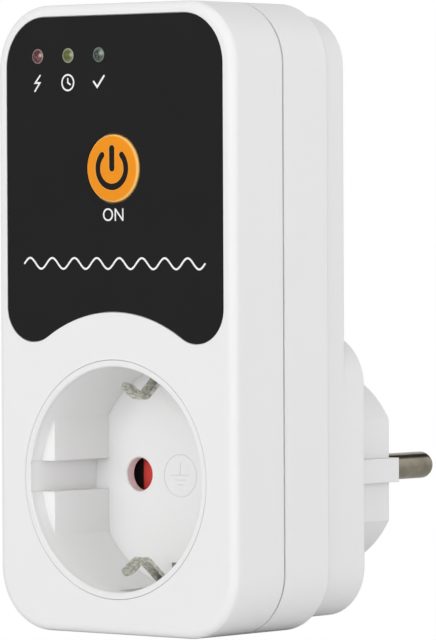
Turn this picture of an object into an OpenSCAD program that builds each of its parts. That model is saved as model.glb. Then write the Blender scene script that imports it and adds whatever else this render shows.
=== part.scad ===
// Plug-in voltage protector: a tall housing with a black label, three indicator
// lights and a start button above an earthed socket, and an earthed plug behind it.
// X runs to the right, Y from the front to the back, Z up. The origin is the middle
// of the plug's end face, which seats in the wall socket.

/* [Housing] */
// Width of the housing
case_w = 54; // [52:0.5:60]
// Height of the housing
case_h = 109; // [107:0.5:120]
// Height of the socket's and plug's common axis above the bottom
axis_h = 26.8; // [26:0.1:29]
// Radius of the housing's corners, seen from the front
case_corner_r = 11; // [9:0.5:12]
// Radius of the rounded edge round the front
front_edge_r = 1.5; // [0.8:0.1:2]
// Depth of the front cover, up to the seam
cover_d = 13.3; // [13:0.1:15]
// Depth of the full-width band behind the seam
band_d = 12; // [11:0.1:14]
// Depth of the narrower band behind that
rear_d = 6.8; // [6:0.1:9]
// Distance that the narrower band is set in on every side
rear_inset = 1.9; // [1:0.1:2.4]
// Depth of the platform that carries the plug
platform_d = 5.5; // [5:0.1:8]
// Top edge of the platform above the plug's axis
platform_rise = 24.8; // [23:0.2:30]
// Thickness of the housing's side walls
wall = 2; // [1.6:0.1:2.4]
// Thickness of the front wall
front_wall = 2.2; // [1.8:0.1:2.4]
// Width of the groove at the seam
seam_w = 0.4; // [0.2:0.1:0.8]
// Length of the tongue that closes the seam inside
tongue_l = 1.9; // [1.4:0.1:2.4]

/* [Label] */
// Gap from the label to the sides of the housing
label_side_gap = 2.4; // [2:0.1:4]
// Gap from the label to the top of the housing
label_top_gap = 2.1; // [2:0.1:4]
// Radius of the label's upper corners
label_corner_r = 8.8; // [6:0.2:10]
// Radius of the label's lower lobes
lobe_r = 6; // [4:0.5:8]
// Radius of the arch over the socket
arch_r = 29; // [27:0.5:32]
// Thickness of the label
label_t = 0.35; // [0.2:0.05:0.5]

/* [Lights and button] */
// Radius of the button
button_r = 5.85; // [5:0.05:7]
// Distance from the housing's top to the button's centre
button_drop = 28.5; // [27:0.5:32]
// Distance that the button stands out of the front
button_proud = 0.35; // [0.3:0.05:1.2]
// Travel of the button
button_travel = 0.5; // [0.3:0.1:0.6]
// Radius of a light's lens
lens_r = 1.28; // [1:0.02:1.4]
// Distance between neighbouring lights
light_pitch = 7.05; // [6.5:0.05:7.5]
// Distance from the housing's left side to the first light
first_light_in = 9.6; // [9.5:0.1:10.5]
// Distance from the housing's top to the lights
light_drop = 8.85; // [8:0.05:10]

/* [Socket] */
// Radius of the socket's recess
recess_r = 19.5; // [19.5:0.1:20]
// Depth of the recess
recess_d = 17.5; // [17:0.1:17.8]
// Thickness of the recess's wall at the rim
rim_t = 1.15; // [0.9:0.05:1.4]
// Distance between the pins and between the pin holes
pin_pitch = 19; // [18.8:0.1:19.2]
// Radius of a pin hole in the floor
hole_r = 2.95; // [2.7:0.05:3.1]
// Distance from the axis to the guide flats in the recess
guide_x = 16.55; // [16.2:0.05:17.2]
// Height of the groove between two guide blocks
guide_groove_h = 5.36; // [4.6:0.02:5.4]
// Thickness of the recess's floor
floor_t = 2; // [1.6:0.1:2.2]
// Travel of the shutter
shutter_travel = 5.1; // [5.05:0.05:5.2]

/* [Plug] */
// Radius of the plug's body
plug_r = 18.2; // [17.8:0.1:18.6]
// Length of the plug's body
plug_l = 18.8; // [17:0.1:20]
// Distance from the axis to the flats at the plug's sides
plug_flat_x = 15.8; // [15.4:0.1:16.4]
// Distance from the axis to the outside of the guide ribs
plug_rib_x = 18.1; // [17.6:0.1:18.4]
// Height of a guide rib
plug_rib_h = 4.3; // [3.8:0.1:4.4]
// Radius of a plug pin
pin_r = 2.4; // [2.35:0.01:2.45]
// Length of a plug pin outside the plug's body
pin_l = 19; // [18.5:0.1:19.5]
// Radius of the rounding at a pin's tip
pin_tip_r = 1.8; // [1:0.1:2.2]
// Thickness of the plug's end wall
end_wall = 3.2; // [2.8:0.1:4]

/* [Earth contacts] */
// Width of a sprung earth clip
clip_w = 2.4; // [1.6:0.1:3]
// Thickness of a sprung earth clip
clip_t = 0.8; // [0.5:0.05:0.9]
// Width of the plug's earth strips
strip_w = 5; // [4:0.2:6]
// Thickness of the plug's earth strips
strip_t = 0.8; // [0.6:0.05:1]

/* [Electronics] */
// Gap from the circuit board to the sides of the housing
board_side_gap = 5; // [4.5:0.1:6]
// Thickness of the circuit board
board_t = 1.6; // [1:0.1:1.8]
// Distance from the front face to the circuit board
board_y = 10.6; // [10.2:0.1:11]
// Length of the relay
relay_l = 19; // [18:0.5:20]
// Width of the relay
relay_w = 15.5; // [15:0.5:16]
// Height of the relay
relay_h = 15.3; // [15:0.1:16]
// Angle through which the relay's armature swings
armature_swing = 3.5; // [2:0.5:4]

/* [Hidden] */
$fn = 64;

// Overrun of a cut past the face that it opens
over = 0.5;
// Clearance between pieces that don't move on each other
fit = 0.1;
// Running clearance of a guided pin
run = 0.05;

// Depths, counted from the front face
cover_end = cover_d - seam_w / 2;
rear_start = cover_d + seam_w / 2;
tongue_end = cover_d + tongue_l;
band_end = cover_d + band_d;
rear_end = band_end + rear_d;
platform_end = rear_end + platform_d;
plug_end = platform_end + plug_l;
pin_end = plug_end + pin_l;

// Outlines, counted from the socket's axis
case_half = case_w / 2;
case_low = -axis_h;
case_top = case_h - axis_h;
rear_half = case_half - rear_inset;
rear_low = case_low + rear_inset;
rear_top = case_top - rear_inset;
rear_corner_r = case_corner_r - rear_inset;

// The label
label_half = case_half - label_side_gap;
label_top = case_top - label_top_gap;
lobe_x = label_half - lobe_r;
lobe_z = sqrt(pow(arch_r + lobe_r, 2) - pow(lobe_x, 2));
meet_x = lobe_x * arch_r / (arch_r + lobe_r);
label_fit = 0.12;
label_sink = 0.05;

// The lights and the button
button_z = case_top - button_drop;
light_z = case_top - light_drop;
light_xs = [for (i = [0:2]) first_light_in + i * light_pitch - case_half];
button_gap = 0.25;
button_flange = 1.3;
button_flange_t = 0.8;
button_edge_r = 0.5;
button_face_t = 1.6;
button_skirt_t = 1.1;
button_stem_r = 2.4;
symbol_r = 3.2;
symbol_t = 1.12;
symbol_gap_angle = 44;
symbol_bar_t = 1.22;
symbol_bar_low = 0.05;
symbol_bar_top = 3.4;
symbol_d = 0.25;
light_r = 1.5;
light_flange = 0.4;
light_flange_t = 1;
light_l = 5.3;
light_dome = 0.3;
light_proud = 0.2;
leg_w = 0.5;
leg_gap = 2.54;
leg_out = 1;

// The screws that hold the housing: two beside the board, two below the socket
upper_screw_in = 6.2;
upper_screw_drop = 22.2;
lower_screw_in = 8.2;
case_screw_xs = [case_half - upper_screw_in, case_half - lower_screw_in];
case_screw_zs = [case_top - upper_screw_drop, case_low + lower_screw_in];
boss_r = 3;
boss_hole_r = 1.25;
boss_past_seam = 1.7;
boss_end = cover_d + boss_past_seam;
boss_rib_t = 1;
boss_rib_l = 4.4;
post_r = 4.1;
post_bore_r = 3.1;
post_neck_l = 7;
screw_seat_y = boss_end + post_neck_l;
back_rib_t = 1;
back_rib_h = 1;
screw_hole_r = 1.6;
screw_r = 1.2;
screw_l = 12;
screw_head_r = 2.8;
screw_head_h = 2;

// The socket's cup and what is behind its floor
cup_r = recess_r + rim_t;
cup_gap = 0.06;
floor_end = recess_d + floor_t;
collar_t = 1.5;
collar_end = 8;
flange_w = 1.9;
flange_r = cup_r + flange_w;
flange_t = 1.5;
rim_round = 0.2;
guide_start = 2.9;
guide_taper = 0.2;
hole_bevel = 0.2;
slot_w = 4.8;
floor_slot_w = 4;
slot_start = 3.6;
slot_floor_z = 15.3;
chamber_d = 2.9;
chamber_end = floor_end + chamber_d;
chamber_t = 1.2;
rail_t = 1.2;
carrier_t = 2;
carrier_end = chamber_end + carrier_t;
carrier_boss_r = 2.4;
carrier_screw_at = [12.5, 11.5];

// The shutter
shutter_gap = 0.1;
shutter_t = 2.5;
shutter_half_h = 4.2;
shutter_edge = 2.5;
shutter_tail = 3.3;
window_l = 5.15;
window_half_h = 2.8;
bridge_t = 1.2;
ramp_l = 4.3;
ramp_lip = 0.5;
pin_x = pin_pitch / 2;
shutter_start_x = -pin_x - shutter_edge;
shutter_end_x = pin_x + shutter_tail;
window_end_x = pin_x - shutter_edge;
window_x = window_end_x - window_l;
stop_x = 0.1;
stop_w = 0.8;
spring_start_x = -7.1;
spring_r = 0.85;
spring_wire_r = 0.14;
spring_turns = 6;
spring_steps = 10;
spring_sides = 6;
spring_slot_h = 2.4;

// The sleeves that grip a pin
tunnel_r = 5.2;
tunnel_bore_r = 4.1;
tunnel_lip_r = 3.15;
tunnel_lip_t = 1.1;
tunnel_end = platform_end - wall - 2 * fit;
sleeve_r = 2.35;
sleeve_t = 0.6;
sleeve_gap = 0.3;
sleeve_slot_w = 0.6;
sleeve_slot_l = 7.5;
sleeve_flare = 0.8;
sleeve_flare_l = 1.2;
sleeve_collar_t = 1.2;
tail_w = 1.8;
tail_l = 3.4;

// The sprung earth clip, as places on its bend: [depth, height]
clip_points = [
    [4.7, 15.2], [5.5, 14.72], [7.2, 13.75], [9.5, 15.57], [11.3, 17], [12.9, 18.3], [17.5, 18.4]
];
clip_steps = 6;
bracket_y = carrier_end + fit + clip_t / 2;
bracket_z = 18.4;
bracket_w = 4;

// The plug's earth strips
strip_z = plug_r - strip_t;
strip_groove = 0.5;
strip_fold = 3;
strip_fit = 0.2;

// The plug's pins inside the body
pin_root_r = 2.6;
pin_root_l = 0.4;
pin_flange_r = 3.6;
pin_flange_t = 1.8;
pin_stud_r = 1.8;
pin_stud_l = 4.5;
plug_wall = 2;

// The ribs that press the carrier on the cup
clamp_r = 19;
clamp_l = 2.6;
clamp_w = 3;
clamp_angle = 28;

// The board's outline and fixings
board_half = case_half - board_side_gap;
board_low = 29.6;
board_top_gap = 4.7;
board_top = case_top - board_top_gap;
layout_h = 47.9;
shrink = min(1, (board_top - board_low) / layout_h);
board_corner_r = 6.5;
board_end = board_y + board_t;
notch_gap = 0.5;
low_fix_in = [3.2, 4];
top_fix_in = [10, 3.5];
board_fix = [
    [board_half - low_fix_in[0], board_low + low_fix_in[1]],
    [low_fix_in[0] - board_half, board_low + low_fix_in[1]],
    [board_half - top_fix_in[0], board_top - top_fix_in[1]]
];
board_post_r = 2.4;
board_screw_r = 0.9;
board_screw_l = 6;
board_screw_head_r = 1.9;
board_screw_head_h = 1.3;

// The push switch on the board
switch_w = 6;
switch_h = 3.5;
plunger_r = 1.7;
plunger_start = 5.2;
plunger_sink = 0.9;

// Places on the board count from the middle of its lower edge: [across, up]
lift = 0.3;

// The relay, in its own frame: foot on the board, hinge at the left
relay_at = [6, 12.6];
relay_wall = 0.8;
relay_base_t = 1.5;
relay_fit = 0.1;
iron_t = 1;
coil_x = -2.2;
coil_r = 4.2;
coil_start = 3.4;
coil_end = 10.4;
bobbin_w = 9.2;
bobbin_t = 0.8;
core_r = 1.6;
core_head_r = 3;
yoke_x = coil_x - bobbin_w / 2 - iron_t / 2;
yoke_w = 7;
hinge_rise = 0.6;
hinge_y = coil_end + bobbin_t + hinge_rise;
armature_w = 8;
armature_l = 10.4;
blade_l = 13.9;
blade_t = 0.3;
blade_w = 3;
rivet_r = 1.1;
rivet_t = 0.5;
rivet_in = 1.4;
rivet_gap = 0.25;
contact_x = yoke_x + blade_l - rivet_in;
contact_strip_t = 0.5;
contact_strip_in = 1.2;

// Other pieces on the board: [across, up]
varistor_at = [-14, 18.5];
varistor_r = 5.2;
varistor_t = 4;
varistor_lift = 1;
film_at = [5, 24.4];
film_size = [18, 11, 6];
film_pitch = 15;
can_at = [-13, 9.4];
can_r = 4;
can_l = 11;
chip_at = [2, 34.5];
chip_size = [9.4, 3.3, 6.4];
chip_pitch = 2.54;
chip_legs = 4;
diode_at = [-9, 31.6];
diode_pitch = 3.1;
diode_r = 1.35;
diode_l = 5.2;
resistor_at = [-10.5, 26.4];
resistor_r = 2;
resistor_l = 9;
lead_r = 0.4;

// Routes of the wires, counted from the front face: [across, depth, height]
function up(z) = board_low + (z - board_low) * shrink;
wire_r = 0.95;
wire_sides = 8;
line_in_route = [
    [9.5, 46.7, 0], [9.5, 43.5, 0], [11.2, 42, 5], [11.2, 37, 7.8], [11.5, 32, 13.5],
    [15, 29, 19], [20.5, 27, 26], [21, 22, up(34)], [20.5, 17.5, up(45)], [20.5, 12.4, up(45)]
];
line_out_route = [
    [9.5, 36.2, 3.95], [9.5, 39, 3.95], [5, 40, 6], [3, 36, 11], [4.5, 31, 16],
    [8, 28, 20], [12, 26.5, 25], [16.5, 24, up(31.5)], [17.3, 18, up(39)], [17.3, 12.4, up(39)]
];
neutral_route = [[-9.5, 46.7, 0], [-9.5, 44, 0], [-9.5, 41.5, -4.4], [-9.5, 36.2, -4.05]];
neutral_tap_route = [
    [-9.5, 36.2, 3.95], [-9.5, 39, 3.95], [-8.5, 39, 9], [-8, 35.5, 12.6], [-8.5, 30, 16],
    [-7, 27, 24], [-5, 22, up(31)], [-5, 17, up(33)], [-5, 12.4, up(33)]
];

function unit(v) = v / norm(v);
function middle(a, b) = (a + b) / 2;
// Points of a rounded route: quadratic arcs between the middles of its legs
function rounded(route, steps) = let (n = len(route)) concat(
    [route[0]],
    [for (i = [1:n - 2]) let (
        a = i == 1 ? route[0] : middle(route[i - 1], route[i]),
        c = i == n - 2 ? route[n - 1] : middle(route[i], route[i + 1]))
        for (k = [1:steps]) let (t = k / steps)
            pow(1 - t, 2) * a + 2 * t * (1 - t) * route[i] + pow(t, 2) * c]
);
function heading(p, i) = unit(p[min(i + 1, len(p) - 1)] - p[max(i - 1, 0)]);

// A tube of round section swept along a list of points
module tube(p, r, sides, side_dir) {
    n = len(p);
    rings = [for (i = [0:n - 1]) let (
        t = heading(p, i),
        u = unit(cross(side_dir, t)),
        v = cross(t, u))
        for (k = [0:sides - 1]) p[i] + r * (cos(360 * k / sides) * u + sin(360 * k / sides) * v)];
    caps = [
        [for (k = [0:sides - 1]) sides - 1 - k],
        [for (k = [0:sides - 1]) (n - 1) * sides + k]
    ];
    walls = [for (i = [0:n - 2], k = [0:sides - 1]) let (
        a = i * sides + k,
        b = i * sides + (k + 1) % sides)
        each [[a, b, b + sides], [a, b + sides, a + sides]]];
    polyhedron(rings, concat([for (c = caps) for (k = [1:sides - 2]) [c[0], c[k + 1], c[k]]],
        [for (w = walls) [w[0], w[2], w[1]]]));
}

// Moves what is drawn from the front face to the part's origin
module in_frame() {
    translate([0, -plug_end, 0]) children();
}

// A flat outline drawn in X and Z, carried from one depth to another
module prism(from, to) {
    translate([0, to, 0]) rotate([90, 0, 0]) linear_extrude(to - from) children();
}

// A round bar along Y
module bar(x, z, from, to, r, r_end = undef) {
    translate([x, from, z]) rotate([-90, 0, 0])
        cylinder(h = to - from, r1 = r, r2 = is_undef(r_end) ? r : r_end);
}

// A body turned round the Y axis at the given place; its outline is [radius, depth]
module turned(x, z) {
    translate([x, 0, z]) rotate([-90, 0, 0]) rotate_extrude() children();
}

module block(x, z, size, from, to) {
    translate([x - size[0] / 2, from, z - size[1] / 2]) cube([size[0], to - from, size[1]]);
}

module round_rect(half, low, high, r) {
    translate([r - half, low]) square([2 * (half - r), high - low]);
    translate([-half, low + r]) square([2 * half, high - low - 2 * r]);
    for (s = [-1, 1], z = [low + r, high - r]) translate([s * (half - r), z]) circle(r);
}

// Half-height outline of a slab with a rounded front edge: [across, depth]
module edge_profile(low, high, depth, e) {
    translate([low, e]) square([high - low, depth - e]);
    translate([low + e, 0]) square([high - low - 2 * e, depth]);
    for (x = [low + e, high - e]) translate([x, e]) circle(e);
}

// A slab with rounded corners whose front edge is rounded too
module rounded_slab(half, low, high, r, e, depth) {
    translate([0, 0, low + r]) linear_extrude(high - low - 2 * r)
        edge_profile(-half, half, depth, e);
    translate([r - half, 0, 0]) rotate([90, 0, 90]) linear_extrude(2 * (half - r))
        swap_profile(low, high, depth, e);
    for (s = [-1, 1], z = [low + r, high - r]) turned(s * (half - r), z) {
        square([r - e, depth]);
        translate([0, e]) square([r, depth - e]);
        translate([r - e, e]) circle(e);
    }
}

// The same outline with the depth across and the height up
module swap_profile(low, high, depth, e) {
    translate([e, low]) square([depth - e, high - low]);
    translate([0, low + e]) square([depth, high - low - 2 * e]);
    for (z = [low + e, high - e]) translate([e, z]) circle(e);
}

// The places of the housing's screws
module at_case_screws() {
    for (i = [0, 1], s = [-1, 1]) translate([s * case_screw_xs[i], 0, case_screw_zs[i]])
        children();
}

module label_outline(grow = 0) {
    half = label_half + grow;
    top = label_top + grow;
    r = label_corner_r + grow;
    translate([-half, lobe_z]) square([2 * half, top - r - lobe_z]);
    translate([r - half, lobe_z]) square([2 * (half - r), top - lobe_z]);
    for (s = [-1, 1]) {
        translate([s * (half - r), top - r]) circle(r);
        translate([s * lobe_x, lobe_z]) circle(lobe_r + grow);
    }
    difference() {
        translate([-meet_x, lobe_z - lobe_r]) square([2 * meet_x, lobe_r + over]);
        circle(arch_r - grow);
    }
}

module front_cover() {
    sink = label_t + label_sink;
    color("white") in_frame() difference() {
        union() {
            difference() {
                union() {
                    rounded_slab(case_half, case_low, case_top, case_corner_r, front_edge_r, cover_end);
                    prism(cover_end - over, tongue_end) round_rect(case_half - wall / 2 - fit,
                        case_low + wall / 2 + fit, case_top - wall / 2 - fit, case_corner_r - wall / 2 - fit);
                }
                prism(front_wall, tongue_end + over) round_rect(case_half - wall,
                    case_low + wall, case_top - wall, case_corner_r - wall);
            }
            bar(0, 0, front_wall - over, collar_end, cup_r + cup_gap + collar_t);
            at_case_screws() {
                bar(0, 0, front_wall - over, boss_end, boss_r);
                for (s = [-1, 1]) cover_rib(s);
            }
            for (p = board_fix) bar(p[0], p[1], front_wall - over, board_y, board_post_r);
            bar(0, button_z, front_wall - over, front_wall + button_flange_t / 2,
                button_r + button_flange + collar_t + button_gap);
        }
        prism(-over, sink) label_outline(label_fit);
        bar(0, 0, -over, tongue_end, cup_r + cup_gap);
        bar(0, button_z, -over, front_wall, button_r + button_gap);
        bar(0, button_z, front_wall, cover_end, button_r + button_flange + button_gap);
        for (x = light_xs) bar(x, light_z, -over, front_wall + over, light_r + fit);
        at_case_screws() bar(0, 0, front_wall + over, boss_end + over, boss_hole_r);
        for (p = board_fix) bar(p[0], p[1], board_y - board_screw_l, board_y + over, board_screw_r - fit);
    }
}

// A low rib that stiffens a screw boss
module cover_rib(side) {
    block(side * boss_rib_l / 2, 0, [boss_rib_l, boss_rib_t], front_wall - over, collar_end);
}

module plug_outline(grow = 0) {
    intersection() {
        circle(plug_r + grow);
        square([2 * (plug_flat_x + grow), 2 * plug_r + 2 * over], center = true);
    }
}

module rear_housing() {
    inner_corner = case_corner_r - wall;
    color("white") in_frame() difference() {
        union() {
            difference() {
                union() {
                    prism(rear_start, band_end) round_rect(case_half, case_low, case_top, case_corner_r);
                    prism(band_end - over, rear_end) round_rect(rear_half, rear_low, rear_top, rear_corner_r);
                    prism(rear_end - over, platform_end)
                        round_rect(rear_half, rear_low, platform_rise, rear_corner_r);
                    prism(platform_end - over, plug_end) plug_outline();
                    for (s = [-1, 1]) block(s * (plug_flat_x + plug_rib_x) / 2 - s * over / 2, 0,
                        [plug_rib_x - plug_flat_x + over, plug_rib_h], platform_end - over, plug_end);
                }
                prism(rear_start - over, tongue_end) round_rect(case_half - wall / 2,
                    case_low + wall / 2, case_top - wall / 2, case_corner_r - wall / 2);
                prism(rear_start - over, band_end - wall)
                    round_rect(case_half - wall, case_low + wall, case_top - wall, inner_corner);
                prism(band_end - wall - over, rear_end - wall) round_rect(rear_half - wall,
                    rear_low + wall, rear_top - wall, rear_corner_r - wall);
                prism(rear_end - wall - over, platform_end - wall) round_rect(rear_half - wall,
                    rear_low + wall, platform_rise - wall, rear_corner_r - wall);
                prism(platform_end - wall - over, plug_end - end_wall) plug_outline(-plug_wall);
            }
            difference() {
                at_case_screws() bar(0, 0, boss_end, rear_end - wall + over, post_r);
                band_margin();
            }
            for (s = [-1, 1]) translate([s * case_screw_xs[1], 0, case_screw_zs[1]])
                bar(0, 0, rear_end - wall, platform_end - wall + over, post_r);
            for (s = [0, 180], a = [-clamp_angle, clamp_angle]) rotate([0, s + a, 0])
                block(clamp_r, 0, [clamp_l, clamp_w], carrier_end, platform_end - wall + over);
            for (x = [-1, 0, 1]) block(x * case_half / 3, (platform_rise + rear_top) / 2,
                [back_rib_t, rear_top - platform_rise - 2 * wall],
                rear_end - wall - back_rib_h, rear_end - wall + over);
        }
        at_case_screws() {
            bar(0, 0, boss_end - over, screw_seat_y + over, screw_hole_r);
            bar(0, 0, screw_seat_y, platform_end + over, post_bore_r);
        }
        for (s = [-1, 1]) {
            bar(s * pin_x, 0, plug_end - end_wall - over, plug_end + over, pin_root_r + fit / 2);
            block(0, s * (strip_z + strip_t), [strip_w + 2 * strip_fit, 2 * (strip_t + strip_fit)],
                platform_end - wall - over, plug_end + over);
            block(0, s * (plug_r - strip_fold / 2), [strip_w + 2 * strip_fit, strip_fold + strip_fit],
                plug_end - strip_groove - strip_t, plug_end + over);
        }
    }
}

// What lies outside the wall of the full-width band
module band_margin() {
    difference() {
        prism(boss_end - over, rear_end) round_rect(case_half + wall, case_low - wall,
            case_top + wall, case_corner_r);
        prism(boss_end - 2 * over, rear_end + over)
            round_rect(rear_half - over, rear_low + over, rear_top - over, rear_corner_r - over);
    }
}

module label_panel() {
    color("#262626") in_frame() difference() {
        prism(label_sink, label_sink + label_t) label_outline();
        bar(0, button_z, label_sink - over, label_sink + label_t + over, button_r + button_gap);
        for (x = light_xs) bar(x, light_z, label_sink - over, label_sink + label_t + over, lens_r + run);
    }
}

// A ring that is open at the top, with an upright stroke in the gap
module power_symbol(from, to) {
    gap_x = symbol_r * sin(symbol_gap_angle);
    gap_z = symbol_r * cos(symbol_gap_angle);
    wide = symbol_r + symbol_t;
    difference() {
        bar(0, 0, from, to, symbol_r + symbol_t / 2);
        bar(0, 0, from - over, to + over, symbol_r - symbol_t / 2);
        prism(from - over, to + over) polygon([
            [0, 0], [wide * tan(symbol_gap_angle), wide], [-wide * tan(symbol_gap_angle), wide]
        ]);
    }
    for (s = [-1, 1]) bar(s * gap_x, gap_z, from, to, symbol_t / 2);
    for (z = [symbol_bar_low, symbol_bar_top]) bar(0, z, from, to, symbol_bar_t / 2);
    block(0, (symbol_bar_low + symbol_bar_top) / 2, [symbol_bar_t, symbol_bar_top - symbol_bar_low],
        from, to);
}

module start_button() {
    back = front_wall + fit + button_flange_t;
    color("orange") in_frame() difference() {
        union() {
            turned(0, button_z) {
                translate([0, -button_proud]) square([button_r - button_edge_r, back + button_proud]);
                translate([0, button_edge_r - button_proud])
                    square([button_r, back + button_proud - button_edge_r]);
                translate([button_r - button_edge_r, button_edge_r - button_proud]) circle(button_edge_r);
            }
            bar(0, button_z, front_wall + fit, back, button_r + button_flange);
        }
        difference() {
            bar(0, button_z, button_face_t - button_proud, back + over, button_r - button_skirt_t);
            bar(0, button_z, -over, back + over, button_stem_r);
        }
        translate([0, 0, button_z]) power_symbol(-button_proud - over, symbol_d - button_proud);
    }
    color("orange") in_frame() bar(0, button_z, back - fit, plunger_start, button_stem_r);
}

module led(i) {
    body_end = light_l - light_proud;
    cap_r = (pow(lens_r, 2) + pow(light_dome, 2)) / (2 * light_dome);
    lens_start = light_dome - light_proud;
    shoulder = label_sink + label_t + fit;
    in_frame() translate([light_xs[i], 0, light_z]) {
        intersection() {
            translate([0, cap_r - light_proud, 0]) rotate([-90, 0, 0]) sphere(cap_r);
            bar(0, 0, -light_proud - over, lens_start + over, lens_r);
        }
        bar(0, 0, lens_start, shoulder + over, lens_r);
        bar(0, 0, shoulder, body_end, light_r);
        bar(0, 0, body_end - light_flange_t, body_end, light_r + light_flange);
        for (s = [-1, 1]) block(s * leg_gap / 2, 0, [leg_w, leg_w], body_end - fit, board_end + leg_out);
    }
}

module led_red() {
    color("firebrick") led(0);
}

module led_yellow() {
    color("yellowgreen") led(1);
}

module led_green() {
    color("seagreen") led(2);
}

// One guide block with its sloping front end, on the right of the recess
module guide_block() {
    intersection() {
        bar(0, 0, 0, recess_d + over, recess_r + over);
        translate([0, 0, -recess_r]) linear_extrude(2 * recess_r) polygon([
            [guide_x, guide_start + guide_taper], [cup_r, guide_start],
            [cup_r, recess_d + over], [guide_x, recess_d + over]
        ]);
    }
}

module socket_cup() {
    color("white") in_frame() difference() {
        union() {
            difference() {
                union() {
                    bar(0, 0, 0, chamber_end, cup_r);
                    bar(0, 0, collar_end + fit, collar_end + fit + flange_t, flange_r);
                }
                bar(0, 0, -over, recess_d, recess_r);
                bar(0, 0, -over, rim_round, recess_r + rim_round + over, recess_r);
                bar(0, 0, floor_end, chamber_end + over, cup_r - chamber_t);
            }
            guide_block();
            mirror([1, 0, 0]) guide_block();
            for (s = [-1, 1]) block(0, s * (shutter_half_h + shutter_gap + rail_t / 2),
                [2 * (cup_r - chamber_t) - rail_t, rail_t], floor_end - over, chamber_end);
            block(shutter_end_x + shutter_travel + shutter_gap + rail_t / 2, 0,
                [rail_t, 2 * shutter_half_h + rail_t], floor_end - over, chamber_end);
            block(stop_x + stop_w / 2, 0, [stop_w, spring_slot_h - 2 * fit],
                floor_end - over, chamber_end - shutter_gap);
            carrier_screw_places() bar(0, 0, floor_end - over, chamber_end, carrier_boss_r);
        }
        for (s = [-1, 1]) {
            bar(s * pin_x, 0, recess_d - over, floor_end + over, hole_r);
            bar(s * pin_x, 0, recess_d - fit, recess_d + hole_bevel, hole_r + hole_bevel + fit, hole_r);
            block(0, s * (slot_floor_z + flange_r - rail_t) / 2, [slot_w, flange_r - rail_t - slot_floor_z],
                slot_start, recess_d);
            block(0, s * (slot_floor_z + flange_r - rail_t) / 2,
                [floor_slot_w, flange_r - rail_t - slot_floor_z], recess_d - over, chamber_end + over);
            block(s * (guide_x + recess_r) / 2 - s * over / 2, 0, [recess_r - guide_x + over, guide_groove_h],
                0, recess_d);
        }
        carrier_screw_places() bar(0, 0, floor_end, chamber_end + over, board_screw_r - fit);
    }
}

// The two screws that hold the carrier on the cup
module carrier_screw_places() {
    for (s = [-1, 1]) translate([s * carrier_screw_at[0], 0, s * carrier_screw_at[1]]) children();
}

module ramp(x) {
    translate([0, 0, -shutter_half_h]) linear_extrude(2 * shutter_half_h) polygon([
        [x, floor_end + shutter_gap + shutter_t], [x, floor_end + shutter_gap + shutter_t - ramp_lip],
        [x + ramp_l, floor_end + shutter_gap], [x + ramp_l + over, floor_end + shutter_gap],
        [x + ramp_l + over, floor_end + shutter_gap + shutter_t]
    ]);
}

module shutter() {
    start = floor_end + shutter_gap;
    back = start + shutter_t;
    mid = (shutter_start_x + ramp_l + window_x) / 2;
    color("red") in_frame() difference() {
        union() {
            ramp(shutter_start_x);
            ramp(window_end_x);
            block(mid, 0, [window_x - shutter_start_x - ramp_l, 2 * shutter_half_h], start, back);
            for (s = [-1, 1])
                block((window_x + window_end_x) / 2, s * (shutter_half_h + window_half_h) / 2,
                    [window_end_x - window_x + 2 * over, shutter_half_h - window_half_h],
                    back - bridge_t, back);
            block((window_end_x + ramp_l + shutter_end_x) / 2, 0,
                [shutter_end_x - window_end_x - ramp_l, 2 * shutter_half_h], start, back);
        }
        block((spring_start_x + stop_x + stop_w + fit) / 2, 0,
            [stop_x + stop_w + fit - spring_start_x, spring_slot_h], start - over, back + over);
    }
}

module shutter_spring() {
    l = stop_x - spring_start_x - 2 * (spring_wire_r + fit);
    steps = spring_steps * spring_turns;
    y = floor_end + shutter_gap + shutter_t / 2;
    points = [for (i = [0:steps]) [
        spring_start_x + fit + spring_wire_r + l * i / steps,
        y + spring_r * cos(360 * i / spring_steps),
        spring_r * sin(360 * i / spring_steps)
    ]];
    color("silver") in_frame() tube(points, spring_wire_r, spring_sides, [1, 0, 0]);
}

module contact_carrier() {
    color("black") in_frame() difference() {
        union() {
            bar(0, 0, chamber_end, carrier_end, cup_r);
            for (s = [-1, 1]) bar(s * pin_x, 0, carrier_end - over, tunnel_end, tunnel_r);
        }
        for (s = [-1, 1]) {
            bar(s * pin_x, 0, chamber_end - over, carrier_end + over, tunnel_lip_r);
            bar(s * pin_x, 0, carrier_end, tunnel_end - tunnel_lip_t, tunnel_bore_r);
            bar(s * pin_x, 0, carrier_end, tunnel_end + over, tunnel_lip_r);
            block(0, s * (slot_floor_z + cup_r + over) / 2, [floor_slot_w, cup_r + over - slot_floor_z],
                chamber_end - over, carrier_end + over);
        }
        carrier_screw_places() bar(0, 0, chamber_end - over, carrier_end + over, board_screw_r + fit);
    }
}

// A split sleeve with a flared mouth, a collar and a solder tail
module sleeve() {
    start = carrier_end + sleeve_gap;
    end = tunnel_end - tunnel_lip_t - fit;
    outer = sleeve_r + sleeve_t;
    difference() {
        union() {
            bar(0, 0, start + sleeve_flare_l, tunnel_end, outer);
            bar(0, 0, start, start + sleeve_flare_l, outer + sleeve_flare, outer);
            bar(0, 0, end - sleeve_collar_t, end, tunnel_bore_r - fit);
            for (s = [-1, 1])
                block(0, s * (outer - sleeve_t / 2), [tail_w, sleeve_t], end, tunnel_end + tail_l);
        }
        bar(0, 0, start - over, tunnel_end + over, sleeve_r);
        bar(0, 0, start - fit, start + sleeve_flare_l, sleeve_r + sleeve_flare + fit, sleeve_r);
        for (a = [0, 90]) rotate([0, a, 0])
            block(0, 0, [2 * (outer + sleeve_flare + over), sleeve_slot_w],
                start - over, start + sleeve_slot_l);
    }
}

module line_contact() {
    color("goldenrod") in_frame() translate([pin_x, 0, 0]) sleeve();
}

module neutral_contact() {
    color("goldenrod") in_frame() translate([-pin_x, 0, 0]) sleeve();
}

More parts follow.
